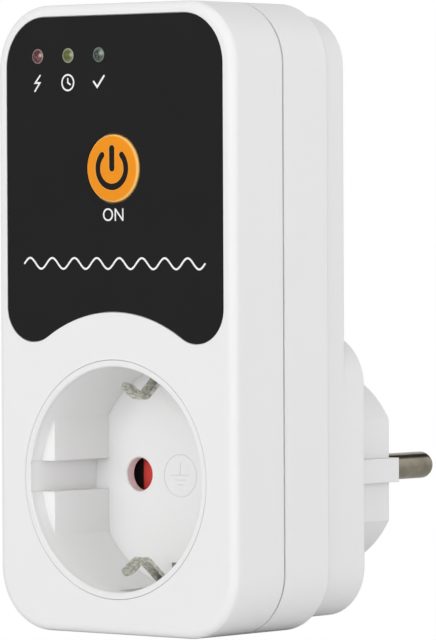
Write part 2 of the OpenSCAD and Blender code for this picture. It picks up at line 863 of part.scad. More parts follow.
// A flat strip that follows a list of places in Y and Z, with a round tip
module bent_strip(points, t, w) {
    last = len(points) - 1;
    turn = heading(points, 0);
    function side(i, s) = let (d = heading(points, i)) points[i] + s * t / 2 * [-d[1], d[0]];
    translate([-w / 2, 0, 0]) rotate([90, 0, 90]) linear_extrude(w)
        polygon(concat([for (i = [0:last]) side(i, -1)], [for (i = [0:last]) side(last - i, 1)]));
    translate([0, points[0][0], points[0][1]]) rotate([atan2(turn[1], turn[0]), 0, 0])
        cylinder(h = t, r = w / 2, center = true);
}

module earth_bracket() {
    tip = clip_points[0] - unit(clip_points[1] - clip_points[0]) * clip_w / 2;
    half = concat([tip], rounded(concat(clip_points, [[bracket_y, bracket_z]]), clip_steps));
    color("silver") in_frame() {
        bent_strip(half, clip_t, clip_w);
        mirror([0, 0, 1]) bent_strip(half, clip_t, clip_w);
        block(0, 0, [bracket_w, 2 * bracket_z + clip_t], bracket_y - clip_t / 2, bracket_y + clip_t / 2);
    }
}

module plug_pin(side) {
    stud = plug_end - end_wall - pin_flange_t;
    color("silver") in_frame() {
        turned(side * pin_x, 0) {
            translate([0, stud]) square([pin_r, pin_end - pin_tip_r - stud]);
            translate([0, stud]) square([pin_r - pin_tip_r, pin_end - stud]);
            intersection() {
                translate([pin_r - pin_tip_r, pin_end - pin_tip_r]) circle(pin_tip_r);
                translate([0, stud]) square([pin_r, pin_end - stud]);
            }
            polygon([
                [0, stud], [pin_root_r, stud], [pin_root_r, plug_end], [pin_r, plug_end + pin_root_l],
                [0, plug_end + pin_root_l]
            ]);
        }
        bar(side * pin_x, 0, stud, plug_end - end_wall, pin_flange_r);
        bar(side * pin_x, 0, stud - pin_stud_l, stud + over, pin_stud_r);
    }
}

module plug_pin_line() {
    plug_pin(1);
}

module plug_pin_neutral() {
    plug_pin(-1);
}

// A strip along the plug's body, folded over its end and joined to the bracket
module plug_earth(side) {
    mid = side * (strip_z + strip_t / 2);
    end = plug_end - strip_groove;
    color("silver") in_frame() {
        block(0, mid, [strip_w, strip_t], bracket_y + clip_t / 2, end);
        block(0, side * (strip_z + strip_t - strip_fold / 2), [strip_w, strip_fold], end - strip_t, end);
    }
}

module plug_earth_top() {
    plug_earth(1);
}

module plug_earth_bottom() {
    plug_earth(-1);
}

module circuit_board() {
    color("darkgreen") in_frame() difference() {
        prism(board_y, board_end) round_rect(board_half, board_low, board_top, board_corner_r);
        at_case_screws() bar(0, 0, board_y - over, board_end + over, boss_r + notch_gap);
        for (p = board_fix) bar(p[0], p[1], board_y - over, board_end + over, board_screw_r + fit);
        for (x = light_xs, s = [-1, 1])
            bar(x + s * leg_gap / 2, light_z, board_y - over, board_end + over, leg_w);
    }
}

module tact_switch() {
    top = board_y - switch_h;
    color("dimgray") in_frame() difference() {
        union() {
            block(0, button_z, [switch_w, switch_w], top, board_y);
            for (x = [-1, 1], z = [-1, 1]) block(x * (switch_w / 2 + leg_w), button_z + z * switch_w / 3,
                [2 * leg_w + fit, leg_w], board_y - leg_w, board_y);
        }
        bar(0, button_z, top - over, top + plunger_sink + button_travel + fit, plunger_r + run);
    }
}

module switch_plunger() {
    color("black") in_frame()
        bar(0, button_z, plunger_start, board_y - switch_h + plunger_sink, plunger_r);
}

module at_relay() {
    on_board(relay_at) translate([0, lift, 0]) children();
}

module relay_base() {
    color("navy") at_relay() {
        block(0, 0, [relay_l - 2 * (relay_wall + relay_fit), relay_w - 2 * (relay_wall + relay_fit)],
            0, relay_base_t);
    }
}

module relay_case() {
    color("royalblue") at_relay() difference() {
        block(0, 0, [relay_l, relay_w], 0, relay_h);
        block(0, 0, [relay_l - 2 * relay_wall, relay_w - 2 * relay_wall], -over, relay_h - relay_wall);
    }
}

module relay_coil() {
    color("peru") at_relay() difference() {
        union() {
            bar(coil_x, 0, coil_start - fit, coil_end + fit, coil_r);
            block(coil_x, 0, [bobbin_w, bobbin_w], coil_start - bobbin_t, coil_start);
            block(coil_x, 0, [bobbin_w, bobbin_w], coil_end, coil_end + bobbin_t);
        }
        bar(coil_x, 0, coil_start - bobbin_t - over, coil_end + bobbin_t + over, core_r + run);
    }
}

module relay_yoke() {
    floor_top = coil_start - bobbin_t;
    color("gray") at_relay() {
        block((yoke_x - iron_t / 2 + coil_x + 2 * core_r) / 2, 0,
            [coil_x + 2 * core_r - yoke_x + iron_t / 2, yoke_w], floor_top - iron_t, floor_top);
        block(yoke_x, 0, [iron_t, yoke_w], floor_top - iron_t, hinge_y - fit / 2);
        bar(coil_x, 0, floor_top - over, coil_end + bobbin_t, core_r);
        bar(coil_x, 0, coil_end + bobbin_t, coil_end + bobbin_t + iron_t / 2, core_head_r);
    }
}

// The armature rests tilted off the core and swings down when the coil pulls it
module relay_armature() {
    color("lightgray") at_relay() translate([yoke_x, hinge_y, 0]) rotate([0, 0, armature_swing]) {
        translate([0, 0, -armature_w / 2]) cube([armature_l, iron_t, armature_w]);
        translate([0, iron_t, -blade_w / 2]) cube([blade_l, blade_t, blade_w]);
        translate([blade_l - rivet_in, iron_t + blade_t - 2 * rivet_t, 0]) rotate([-90, 0, 0])
            cylinder(h = 2 * rivet_t, r = rivet_r);
    }
}

// The fixed contact stands on the base and reaches under the moving one
module relay_contacts() {
    strip_x = relay_l / 2 - relay_wall - contact_strip_in;
    top = hinge_y + iron_t + blade_t - 2 * rivet_t - rivet_gap;
    color("goldenrod") at_relay() {
        block(strip_x, 0, [contact_strip_t, blade_w], relay_base_t, top - rivet_t);
        block((strip_x + contact_strip_t / 2 + contact_x - rivet_r) / 2, 0,
            [strip_x + contact_strip_t / 2 - contact_x + rivet_r, blade_w],
            top - rivet_t - contact_strip_t, top - rivet_t);
        bar(contact_x, 0, top - rivet_t - fit, top, rivet_r);
    }
}

// Moves what is drawn to its place on the back of the board, and shrinks it with a low board
module on_board(at) {
    in_frame() translate([at[0] * shrink, board_end, board_low + at[1] * shrink])
        scale(shrink) children();
}

// Two straight leads into the board
module leads(pitch, to) {
    for (s = [-1, 1]) bar(s * pitch / 2, 0, 0, to, lead_r);
}

module varistor() {
    y = varistor_lift + varistor_r;
    color("firebrick") on_board(varistor_at) {
        translate([0, y, -varistor_t / 2]) cylinder(h = varistor_t, r = varistor_r);
        leads(varistor_r, y);
    }
}

module film_capacitor() {
    color("khaki") on_board(film_at) {
        block(0, 0, [film_size[0], film_size[2]], lift, lift + film_size[1]);
        leads(film_pitch, 2 * lift);
    }
}

module electrolytic_capacitor() {
    top = lift + can_l;
    color("midnightblue") on_board(can_at) {
        difference() {
            bar(0, 0, lift, top, can_r);
            for (a = [0, 90]) rotate([0, a, 0]) block(0, 0, [can_r, lead_r], top - fit, top + over);
        }
        leads(can_r, 2 * lift);
    }
}

module control_chip() {
    top = lift + chip_size[1];
    color("black") on_board(chip_at) difference() {
        union() {
            block(0, 0, [chip_size[0], chip_size[2]], lift, top);
            for (i = [0:chip_legs - 1], s = [-1, 1])
                block((i - (chip_legs - 1) / 2) * chip_pitch, s * (chip_size[2] + leg_w) / 2,
                    [leg_w, leg_w + fit], 0, lift + chip_size[1] / 2);
        }
        bar(-chip_size[0] / 2, 0, top - fit, top + over, leg_w);
    }
}

// A round body lying along X, with its leads bent down to the board
module axial(r, l) {
    y = lift + r;
    bend_x = l / 2 + 2 * lead_r;
    translate([-l / 2, y, 0]) rotate([0, 90, 0]) cylinder(h = l, r = r);
    for (s = [-1, 1]) {
        block(s * bend_x, 0, [2 * lead_r, 2 * lead_r], 0, y + lead_r);
        block(s * (l / 2 + lead_r / 2), 0, [lead_r + fit, 2 * lead_r], y - lead_r, y + lead_r);
    }
}

module rectifier_diodes() {
    color("black") on_board(diode_at) for (i = [0:3])
        translate([0, 0, i * diode_pitch]) axial(diode_r, diode_l);
}

module dropper_resistor() {
    color("tan") on_board(resistor_at) axial(resistor_r, resistor_l);
}

module wire(route) {
    in_frame() tube(rounded(route, 3), wire_r, wire_sides, [1, 0, 0]);
}

module line_in_wire() {
    color("saddlebrown") wire(line_in_route);
}

module line_out_wire() {
    color("saddlebrown") wire(line_out_route);
}

module neutral_wire() {
    color("steelblue") wire(neutral_route);
}

module neutral_tap_wire() {
    color("steelblue") wire(neutral_tap_route);
}

// A pan-head screw that points to the front, with a cross in its head
module screw(seat, r, l, head_r, head_h) {
    slot = head_r / 3;
    difference() {
        union() {
            bar(0, 0, seat - l + r, seat + over, r);
            bar(0, 0, seat - l, seat - l + r, r / 3, r);
            bar(0, 0, seat, seat + head_h, head_r, head_r - head_h / 4);
        }
        for (a = [0, 90]) rotate([0, a, 0])
            block(0, 0, [head_r, slot], seat + head_h / 2, seat + head_h + over);
    }
}

module housing_screws() {
    color("silver") in_frame() at_case_screws()
        screw(screw_seat_y, screw_r, screw_l, screw_head_r, screw_head_h);
}

module board_screws() {
    color("silver") in_frame() for (p = board_fix) translate([p[0], 0, p[1]])
        screw(board_end, board_screw_r - 2 * fit, board_screw_l, board_screw_head_r, board_screw_head_h);
}

module carrier_screws() {
    color("silver") in_frame() carrier_screw_places()
        screw(carrier_end, board_screw_r - 2 * fit, carrier_t + chamber_d - 2 * fit,
            board_screw_head_r, board_screw_head_h);
}

front_cover();
rear_housing();
label_panel();
start_button();
led_red();
led_yellow();
led_green();
socket_cup();
shutter();
shutter_spring();
contact_carrier();
line_contact();
neutral_contact();
earth_bracket();
plug_pin_line();
plug_pin_neutral();
plug_earth_top();
plug_earth_bottom();
circuit_board();
tact_switch();
switch_plunger();
relay_base();
relay_case();
relay_coil();
relay_yoke();
relay_armature();
relay_contacts();
varistor();
film_capacitor();
electrolytic_capacitor();
control_chip();
rectifier_diodes();
dropper_resistor();
line_in_wire();
line_out_wire();
neutral_wire();
neutral_tap_wire();
housing_screws();
board_screws();
carrier_screws();
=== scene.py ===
# The looks of a plug-in voltage protector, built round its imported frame.
# Metres; X to the right, Y from the front to the back, Z up, origin at the plug's end face.
from math import cos, pi, radians, sin

import bmesh
import bpy
from mathutils import Matrix, Vector


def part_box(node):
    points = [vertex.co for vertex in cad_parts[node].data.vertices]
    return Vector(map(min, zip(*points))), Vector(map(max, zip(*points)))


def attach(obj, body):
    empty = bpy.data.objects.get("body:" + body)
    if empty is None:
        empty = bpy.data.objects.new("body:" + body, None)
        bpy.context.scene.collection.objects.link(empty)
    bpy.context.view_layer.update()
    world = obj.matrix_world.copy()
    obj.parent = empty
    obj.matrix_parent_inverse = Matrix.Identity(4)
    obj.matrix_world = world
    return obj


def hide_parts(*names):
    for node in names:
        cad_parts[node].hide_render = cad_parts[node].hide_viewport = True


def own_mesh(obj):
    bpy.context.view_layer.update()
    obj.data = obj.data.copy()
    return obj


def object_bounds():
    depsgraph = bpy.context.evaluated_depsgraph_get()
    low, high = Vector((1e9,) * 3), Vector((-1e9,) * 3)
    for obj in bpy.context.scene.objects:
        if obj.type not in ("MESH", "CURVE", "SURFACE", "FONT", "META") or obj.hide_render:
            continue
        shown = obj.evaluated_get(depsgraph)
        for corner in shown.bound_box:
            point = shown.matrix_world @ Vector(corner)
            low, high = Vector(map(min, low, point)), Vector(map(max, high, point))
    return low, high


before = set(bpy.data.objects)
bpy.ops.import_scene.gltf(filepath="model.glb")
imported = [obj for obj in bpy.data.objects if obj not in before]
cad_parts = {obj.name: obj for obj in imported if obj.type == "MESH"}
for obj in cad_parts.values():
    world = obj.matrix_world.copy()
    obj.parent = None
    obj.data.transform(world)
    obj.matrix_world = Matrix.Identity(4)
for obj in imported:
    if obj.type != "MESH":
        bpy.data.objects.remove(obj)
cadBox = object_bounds()
scene = bpy.context.scene
mm = 0.001


# Small steps that the materials, groups and world below are made of

def feed(tree, socket, value):
    if isinstance(value, (int, float, tuple)):
        socket.default_value = value
    elif value is not None:
        tree.links.new(value, socket)


def mathNode(tree, operation, a, b=None, clamp=False):
    node = tree.nodes.new("ShaderNodeMath")
    node.operation = operation
    node.use_clamp = clamp
    feed(tree, node.inputs[0], a)
    feed(tree, node.inputs[1], b)
    return node.outputs[0]


def vectorNode(tree, operation, a, b=None):
    node = tree.nodes.new("ShaderNodeVectorMath")
    node.operation = operation
    feed(tree, node.inputs[0], a)
    feed(tree, node.inputs["Scale" if operation == "SCALE" else 1], b)
    plainNumber = operation in ("DOT_PRODUCT", "LENGTH", "DISTANCE")
    return node.outputs["Value" if plainNumber else "Vector"]


def mapRange(tree, value, start, end, low=0.0, high=1.0, smooth=False):
    node = tree.nodes.new("ShaderNodeMapRange")
    node.interpolation_type = "SMOOTHSTEP" if smooth else "LINEAR"
    for label, number in (("From Min", start), ("From Max", end), ("To Min", low), ("To Max", high)):
        feed(tree, node.inputs[label], number)
    feed(tree, node.inputs["Value"], value)
    return node.outputs[0]


def mixColor(tree, factor, a, b):
    node = tree.nodes.new("ShaderNodeMix")
    node.data_type = "RGBA"
    feed(tree, node.inputs["Factor"], factor)
    feed(tree, node.inputs[6], a)       # sockets 6 and 7 are the colours A and B
    feed(tree, node.inputs[7], b)
    return node.outputs[2]


def mixShader(tree, factor, a, b, out):
    node = tree.nodes.new("ShaderNodeMixShader")
    for socket, source in zip(node.inputs, (factor, a, b)):
        feed(tree, socket, source)
    feed(tree, out.inputs["Surface"], node.outputs[0])


def colorRamp(tree, share, stops, blend="LINEAR"):
    node = tree.nodes.new("ShaderNodeValToRGB")
    node.color_ramp.interpolation = blend
    for _ in stops[2:]:     # a new ramp has two stops
        node.color_ramp.elements.new(0.5)
    for element, (place, color) in zip(node.color_ramp.elements, stops):
        element.position = place
        element.color = color
    feed(tree, node.inputs["Fac"], share)
    return node.outputs["Color"]


def noiseNode(tree, where, scale, detail=2.0):
    node = tree.nodes.new("ShaderNodeTexNoise")
    node.inputs["Detail"].default_value = detail
    feed(tree, node.inputs["Vector"], where)
    feed(tree, node.inputs["Scale"], scale)
    return node.outputs["Fac"]


def coordinates(tree, kind="Object"):
    return tree.nodes.new("ShaderNodeTexCoord").outputs[kind]


def alongAxis(tree, where, axis):
    node = tree.nodes.new("ShaderNodeSeparateXYZ")
    feed(tree, node.inputs[0], where)
    return node.outputs[axis]


def newMaterial(name, constants):
    material = bpy.data.materials.new(name)
    material.use_nodes = True
    tree = material.node_tree
    shader = tree.nodes["Principled BSDF"]
    for label, value in constants.items():
        shader.inputs[label].default_value = value
    return material, tree, shader


def newTree(name, kind, ins, outs):
    tree = bpy.data.node_groups.new(name, kind)
    for label, sort, value in ins:
        socket = tree.interface.new_socket(label, in_out="INPUT", socket_type="NodeSocket" + sort)
        if value is not None:
            socket.default_value = value
    for label, sort in outs:
        tree.interface.new_socket(label, in_out="OUTPUT", socket_type="NodeSocket" + sort)
    return tree, tree.nodes.new("NodeGroupInput"), tree.nodes.new("NodeGroupOutput")


def addObject(name, data):
    added = bpy.data.objects.new(name, data)
    scene.collection.objects.link(added)
    return added


def boxMiddle(node):
    low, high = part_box(node)
    return [(a + b) / 2 for a, b in zip(low, high)]


# Camera and light

cameraLook = {
    "yaw": 40.02,           # degrees to the right of straight on
    "pitch": 1.165,         # degrees looking down
    "roll": -0.253,         # degrees
    "aim": (23.46, -56.4, 27.8),    # mm, the place in the middle of the picture
    "distance": 904.4,      # mm from that place
    "lens": 300.1,          # for a 36 mm sensor along the picture's height
    "clipStart": 0.05,      # metres
}


def buildCamera(look):
    yaw, pitch, roll = (radians(look[k]) for k in ("yaw", "pitch", "roll"))
    forward = Vector((-sin(yaw) * cos(pitch), cos(yaw) * cos(pitch), -sin(pitch)))
    level = Vector((cos(yaw), sin(yaw), 0))
    upright = level.cross(forward)
    right = cos(roll) * level + sin(roll) * upright
    up = cos(roll) * upright - sin(roll) * level
    camera = addObject("camera", bpy.data.cameras.new("camera"))
    camera.data.lens = look["lens"]
    camera.data.clip_start = look["clipStart"]
    turn = Matrix((right, up, -forward)).transposed().to_4x4()
    place = Vector(look["aim"]) * mm - look["distance"] * mm * forward
    camera.matrix_world = Matrix.Translation(place) @ turn
    scene.camera = camera


studio = {
    "floorGap": 0.05,       # mm under the housing
    "floorSize": 6.0,       # metres
    "floorColor": (0.93, 0.93, 0.93, 1),
    "floorMirrored": (0.6, 0.6, 0.6, 1),    # what the metal parts reflect of it
    "ambient": 0.56,        # light from the sides and below
    "overhead": 0.33,       # added straight above, falling to nothing at the horizon
    "flagToward": (-0.03, 0.77, 0.64),      # a dark flag that the plug's pins mirror
    "flagFrom": 0.93,       # cosine of the angle at which the flag's shade starts
    "flagTo": 0.995,        # and at which it is full
    "flagLeft": 0.05,       # share of the light that passes the flag
    "white": (1, 1, 1, 1),
    "softness": 40,         # degrees that each lamp spans
    "lamps": (              # name, degrees to the right of straight on, strength
        ("left", 0, 1.55),
        ("right", 40, 0.61),
        ("side", 85, 1.16),
    ),
}


def buildFloor(look):
    low = cadBox[0][2] - look["floorGap"] * mm
    half = look["floorSize"] / 2
    corners = [(x * half, y * half, low) for x, y in ((-1, -1), (1, -1), (1, 1), (-1, 1))]
    mesh = bpy.data.meshes.new("floor")
    mesh.from_pydata(corners, [], [(0, 1, 2, 3)])
    floor = addObject("floor", mesh)
    paint, tree, shader = newMaterial("floorPaint", {"Roughness": 1.0, "Specular IOR Level": 0.0})
    ray = tree.nodes.new("ShaderNodeLightPath")
    feed(tree, shader.inputs["Base Color"],
         mixColor(tree, ray.outputs["Is Glossy Ray"], look["floorColor"], look["floorMirrored"]))
    seen = tree.nodes.new("ShaderNodeEmission")     # the camera sees plain white without a horizon
    mixShader(tree, ray.outputs["Is Camera Ray"], shader.outputs[0], seen.outputs[0],
              tree.nodes["Material Output"])
    mesh.materials.append(paint)


def buildLamps(look):
    for name, turn, strength in look["lamps"]:
        lamp = addObject(name, bpy.data.lights.new(name, "SUN"))
        lamp.data.energy = strength
        lamp.data.angle = radians(look["softness"])
        lamp.rotation_euler = (radians(90), 0, radians(turn))      # level, shining to the back


def buildWorld(look):
    world = bpy.data.worlds.new("studio")
    world.use_nodes = True
    scene.world = world
    tree = world.node_tree
    tree.nodes.clear()
    toward = coordinates(tree, "Generated")
    overhead = mapRange(tree, alongAxis(tree, toward, "Z"), 0.0, 1.0,
                        look["ambient"], look["ambient"] + look["overhead"])
    middle = tuple(Vector(look["flagToward"]).normalized())
    passed = mapRange(tree, vectorNode(tree, "DOT_PRODUCT", toward, middle),
                      look["flagFrom"], look["flagTo"], 1.0, look["flagLeft"], smooth=True)
    light = tree.nodes.new("ShaderNodeBackground")
    seen = tree.nodes.new("ShaderNodeBackground")       # what the camera sees past the floor
    for background in (light, seen):
        background.inputs["Color"].default_value = look["white"]
    feed(tree, light.inputs["Strength"], mathNode(tree, "MULTIPLY", overhead, passed))
    ray = tree.nodes.new("ShaderNodeLightPath")
    mixShader(tree, ray.outputs["Is Camera Ray"], light.outputs[0], seen.outputs[0],
              tree.nodes.new("ShaderNodeOutputWorld"))
    scene.view_settings.view_transform = "Standard"


buildCamera(cameraLook)
buildFloor(studio)
buildLamps(studio)
buildWorld(studio)
print("camera and light set")


# Shader groups that several materials use. A scale counts a pattern's waves in a metre.

def swingGloss(tree, given, pattern):       # a noise lies about 0.5
    swing = mathNode(tree, "MULTIPLY", mathNode(tree, "SUBTRACT", pattern, 0.5), given.outputs["Spread"])
    return mathNode(tree, "ADD", given.outputs["Gloss"], swing, clamp=True)


grainPattern = {"driftScale": 70.0, "driftDetail": 3.0}     # slow colour drift from the melt


def mouldGrainGroup(look):
    tree, given, result = newTree(
        "mouldGrain", "ShaderNodeTree",
        [("Color", "Color", (0.8, 0.8, 0.8, 1)), ("Flow", "Float", 0.03), ("Grain", "Float", 3000.0),
         ("Gloss", "Float", 0.4), ("Spread", "Float", 0.1)],
        [("Color", "Color"), ("Roughness", "Float"), ("Height", "Float")])
    where = coordinates(tree)
    drift = noiseNode(tree, where, look["driftScale"], look["driftDetail"])
    fine = noiseNode(tree, where, given.outputs["Grain"])
    shade = mathNode(tree, "SUBTRACT", 1.0, mathNode(tree, "MULTIPLY", drift, given.outputs["Flow"]))
    feed(tree, result.inputs["Color"], vectorNode(tree, "SCALE", given.outputs["Color"], shade))
    feed(tree, result.inputs["Roughness"], swingGloss(tree, given, fine))
    feed(tree, result.inputs["Height"], fine)
    return tree


wearPattern = {
    "samples": 4,
    "turnGain": 6.0,        # how soon a turned edge counts as fully worn
    "patchScale": 900.0,
    "patchGain": 1.6,
}


def edgeWearGroup(look):
    tree, given, result = newTree(
        "edgeWear", "ShaderNodeTree", [("Radius", "Float", 0.0003), ("Strength", "Float", 0.5)],
        [("Mask", "Float"), ("Normal", "Vector")])
    bevel = tree.nodes.new("ShaderNodeBevel")
    bevel.samples = look["samples"]
    feed(tree, bevel.inputs["Radius"], given.outputs["Radius"])
    facing = tree.nodes.new("ShaderNodeNewGeometry").outputs["Normal"]
    straight = vectorNode(tree, "DOT_PRODUCT", bevel.outputs[0], facing)
    turned = mathNode(tree, "MULTIPLY", mathNode(tree, "SUBTRACT", 1.0, straight), look["turnGain"],
                      clamp=True)
    patches = mathNode(tree, "MULTIPLY", noiseNode(tree, coordinates(tree), look["patchScale"]),
                       look["patchGain"], clamp=True)
    broken = mathNode(tree, "MULTIPLY", turned, patches)
    feed(tree, result.inputs["Mask"], mathNode(tree, "MULTIPLY", broken, given.outputs["Strength"]))
    feed(tree, result.inputs["Normal"], bevel.outputs[0])
    return tree


dustPattern = {"samples": 4, "speckScale": 2500.0, "speckDetail": 3.0, "evenPart": 0.4}


def settledDustGroup(look):
    tree, given, result = newTree(
        "settledDust", "ShaderNodeTree", [("Reach", "Float", 0.002), ("Strength", "Float", 0.2)],
        [("Mask", "Float")])
    corner = tree.nodes.new("ShaderNodeAmbientOcclusion")
    corner.samples = look["samples"]
    corner.only_local = True
    feed(tree, corner.inputs["Distance"], given.outputs["Reach"])
    specks = noiseNode(tree, coordinates(tree), look["speckScale"], look["speckDetail"])
    closed = mathNode(tree, "SUBTRACT", 1.0, corner.outputs["AO"])
    spread = mathNode(tree, "MULTIPLY", closed, mathNode(tree, "ADD", specks, look["evenPart"]))
    feed(tree, result.inputs["Mask"],
         mathNode(tree, "MULTIPLY", spread, given.outputs["Strength"], clamp=True))
    return tree


metalPattern = {"stainDetail": 4.0, "stainStart": 0.4, "stainGain": 2.5}


def drawnMetalGroup(look):
    tree, given, result = newTree(
        "drawnMetal", "ShaderNodeTree",
        [("Color", "Color", (0.5, 0.5, 0.5, 1)), ("Stretch", "Vector", (1, 1, 1)),
         ("Lines", "Float", 2500.0), ("Stains", "Float", 350.0), ("Darkest", "Float", 0.62),
         ("Gloss", "Float", 0.3), ("Spread", "Float", 0.2)],
        [("Color", "Color"), ("Roughness", "Float"), ("Height", "Float")])
    where = coordinates(tree)
    lines = noiseNode(tree, vectorNode(tree, "MULTIPLY", where, given.outputs["Stretch"]),
                      given.outputs["Lines"])
    stains = noiseNode(tree, where, given.outputs["Stains"], look["stainDetail"])
    patch = mathNode(tree, "MULTIPLY", mathNode(tree, "SUBTRACT", stains, look["stainStart"]),
                     look["stainGain"], clamp=True)
    dark = vectorNode(tree, "SCALE", given.outputs["Color"], given.outputs["Darkest"])
    feed(tree, result.inputs["Color"], mixColor(tree, patch, given.outputs["Color"], dark))
    feed(tree, result.inputs["Roughness"], swingGloss(tree, given, lines))
    feed(tree, result.inputs["Height"], lines)
    return tree


def bodyShareGroup():       # how far a place is from one end of a body to the other, along X
    tree, given, result = newTree(
        "bodyShare", "ShaderNodeTree", [("Start", "Float", 0.0), ("Length", "Float", 0.01)],
        [("Share", "Float")])
    past = mathNode(tree, "SUBTRACT", alongAxis(tree, coordinates(tree), "X"), given.outputs["Start"])
    feed(tree, result.inputs["Share"], mathNode(tree, "DIVIDE", past, given.outputs["Length"]))
    return tree


specklePattern = {"speckScale": 3600.0, "speckDetail": 3.0, "speckStart": 0.48, "speckGain": 2.0}


def lensPaintedGlintGroup(look):       # how far a place is from a lens's middle to its rim, and where a painted highlight glints, with specks
    tree, given, result = newTree(
        "lensPaintedGlint", "ShaderNodeTree",
        [("Middle", "Vector", (0, 0, 0)), ("Radius", "Float", 0.001), ("Glint", "Vector", (0, 0, 0)),
         ("GlintRadius", "Float", 0.0005)],
        [("Share", "Float"), ("Shine", "Float")])
    where = coordinates(tree)
    centred = vectorNode(tree, "SUBTRACT", where, given.outputs["Middle"])
    flat = vectorNode(tree, "MULTIPLY", centred, (1, 0, 1))
    feed(tree, result.inputs["Share"],
         mathNode(tree, "DIVIDE", vectorNode(tree, "LENGTH", flat), given.outputs["Radius"]))
    # a painted highlight: a glint at a fixed place on the lens
    aside = vectorNode(tree, "DISTANCE", flat, given.outputs["Glint"])
    glint = mapRange(tree, aside, given.outputs["GlintRadius"], 0.0, smooth=True)
    specks = noiseNode(tree, where, look["speckScale"], look["speckDetail"])
    sparkle = mathNode(tree, "MULTIPLY", mathNode(tree, "SUBTRACT", specks, look["speckStart"]),
                       look["speckGain"], clamp=True)
    feed(tree, result.inputs["Shine"], mathNode(tree, "MAXIMUM", sparkle, glint))
    return tree


mouldGrain = mouldGrainGroup(grainPattern)
edgeWear = edgeWearGroup(wearPattern)
settledDust = settledDustGroup(dustPattern)
drawnMetal = drawnMetalGroup(metalPattern)
bodyShare = bodyShareGroup()
lensPaintedGlint = lensPaintedGlintGroup(specklePattern)
print("shader groups built")


def placeGroup(tree, group, **values):
    node = tree.nodes.new("ShaderNodeGroup")
    node.node_tree = group
    for label, value in values.items():
        node.inputs[label].default_value = value
    return node


def addBump(tree, shader, height, base, look):
    bump = tree.nodes.new("ShaderNodeBump")
    bump.inputs["Strength"].default_value = look["bump"]
    bump.inputs["Distance"].default_value = look["bumpDepth"] * mm
    feed(tree, bump.inputs["Height"], height)
    feed(tree, bump.inputs["Normal"], base)
    feed(tree, shader.inputs["Normal"], bump.outputs[0])


# Materials, each with what differs from its kind's usual values

plasticUsual = {
    "specular": 0.5, "coat": 0.0, "coatRoughness": 0.12,
    "flow": 0.03,           # how far the colour drifts
    "grain": 3000.0,        # scale of the surface's grain
    "spread": 0.1,          # how far the roughness swings round "gloss"
    "edge": 0.15,           # mm, radius of a worn edge
    "wear": 0.3, "wornAndHighlightColor": (0.9, 0.9, 0.9, 1),
    "reach": 2.0,           # mm that dust comes out of a corner
    "dust": 0.1, "dustColor": (0.45, 0.43, 0.4, 1),
    "bump": 0.15, "bumpDepth": 0.02,        # mm
}


def mouldedPlastic(name, ownLook):
    look = {**plasticUsual, **ownLook}
    material, tree, shader = newMaterial(name, {
        "Specular IOR Level": look["specular"], "Coat Weight": look["coat"],
        "Coat Roughness": look["coatRoughness"]})
    grain = placeGroup(tree, mouldGrain, Color=look["color"], Flow=look["flow"], Grain=look["grain"],
                       Gloss=look["gloss"], Spread=look["spread"])
    if "rimColor" in look:      # painted light: deeper in the recess the cup is painted paler than at its rim, standing in for light reaching the recess
        face = look["rimFace"]
        paintedRecessLight = mapRange(tree, alongAxis(tree, coordinates(tree), "Y"), face,
                          face + look["rimDepth"] * mm)
        feed(tree, grain.inputs["Color"], mixColor(tree, paintedRecessLight, look["rimColor"], look["color"]))
    wear = placeGroup(tree, edgeWear, Radius=look["edge"] * mm, Strength=look["wear"])
    dust = placeGroup(tree, settledDust, Reach=look["reach"] * mm, Strength=look["dust"])
    wearAndRimHighlight = wear.outputs["Mask"]
    if "rim" in look:       # painted highlight: a rounded edge is painted paler where it turns away from the front
        rim = mapRange(tree, alongAxis(tree, coordinates(tree, "Normal"), "Y"),
                       look["rimStart"], look["rimFull"], 0.0, look["rim"])
        wearAndRimHighlight = mathNode(tree, "MAXIMUM", wearAndRimHighlight, rim)
    # edge wear, and on the button also a painted highlight on its rounded rim
    worn = mixColor(tree, wearAndRimHighlight, grain.outputs["Color"], look["wornAndHighlightColor"])
    feed(tree, shader.inputs["Base Color"],
         mixColor(tree, dust.outputs["Mask"], worn, look["dustColor"]))
    feed(tree, shader.inputs["Roughness"], grain.outputs["Roughness"])
    addBump(tree, shader, grain.outputs["Height"], wear.outputs["Normal"], look)
    return material


metalUsual = {
    "stretch": (1, 1, 1),   # draws the lines out along an axis where it is small
    "lines": 2500.0,        # scale of the drawn lines
    "stains": 350.0,        # scale of the stains
    "darkest": 0.62,        # share of the colour that a stain leaves
    "spread": 0.2,          # how far the roughness swings round "gloss"
    "edge": 0.1,            # mm, radius of a worn edge
    "wear": 0.5, "wornAndHighlightColor": (0.8, 0.78, 0.7, 1),
    "reach": 1.0,           # mm that tarnish comes out of a corner
    "tarnish": 0.2, "tarnishColor": (0.16, 0.155, 0.14, 1),
    "bump": 0.2, "bumpDepth": 0.01,         # mm
}


def platedMetal(name, ownLook):
    look = {**metalUsual, **ownLook}
    material, tree, shader = newMaterial(name, {"Metallic": 1.0})
    drawn = placeGroup(tree, drawnMetal, Color=look["color"], Stretch=look["stretch"], Lines=look["lines"],
                       Stains=look["stains"], Darkest=look["darkest"], Gloss=look["gloss"],
                       Spread=look["spread"])
    wear = placeGroup(tree, edgeWear, Radius=look["edge"] * mm, Strength=look["wear"])
    tarnish = placeGroup(tree, settledDust, Reach=look["reach"] * mm, Strength=look["tarnish"])
    worn = mixColor(tree, wear.outputs["Mask"], drawn.outputs["Color"], look["wornAndHighlightColor"])
    feed(tree, shader.inputs["Base Color"],
         mixColor(tree, tarnish.outputs["Mask"], worn, look["tarnishColor"]))
    feed(tree, shader.inputs["Roughness"], drawn.outputs["Roughness"])
    addBump(tree, shader, drawn.outputs["Height"], wear.outputs["Normal"], look)
    return material


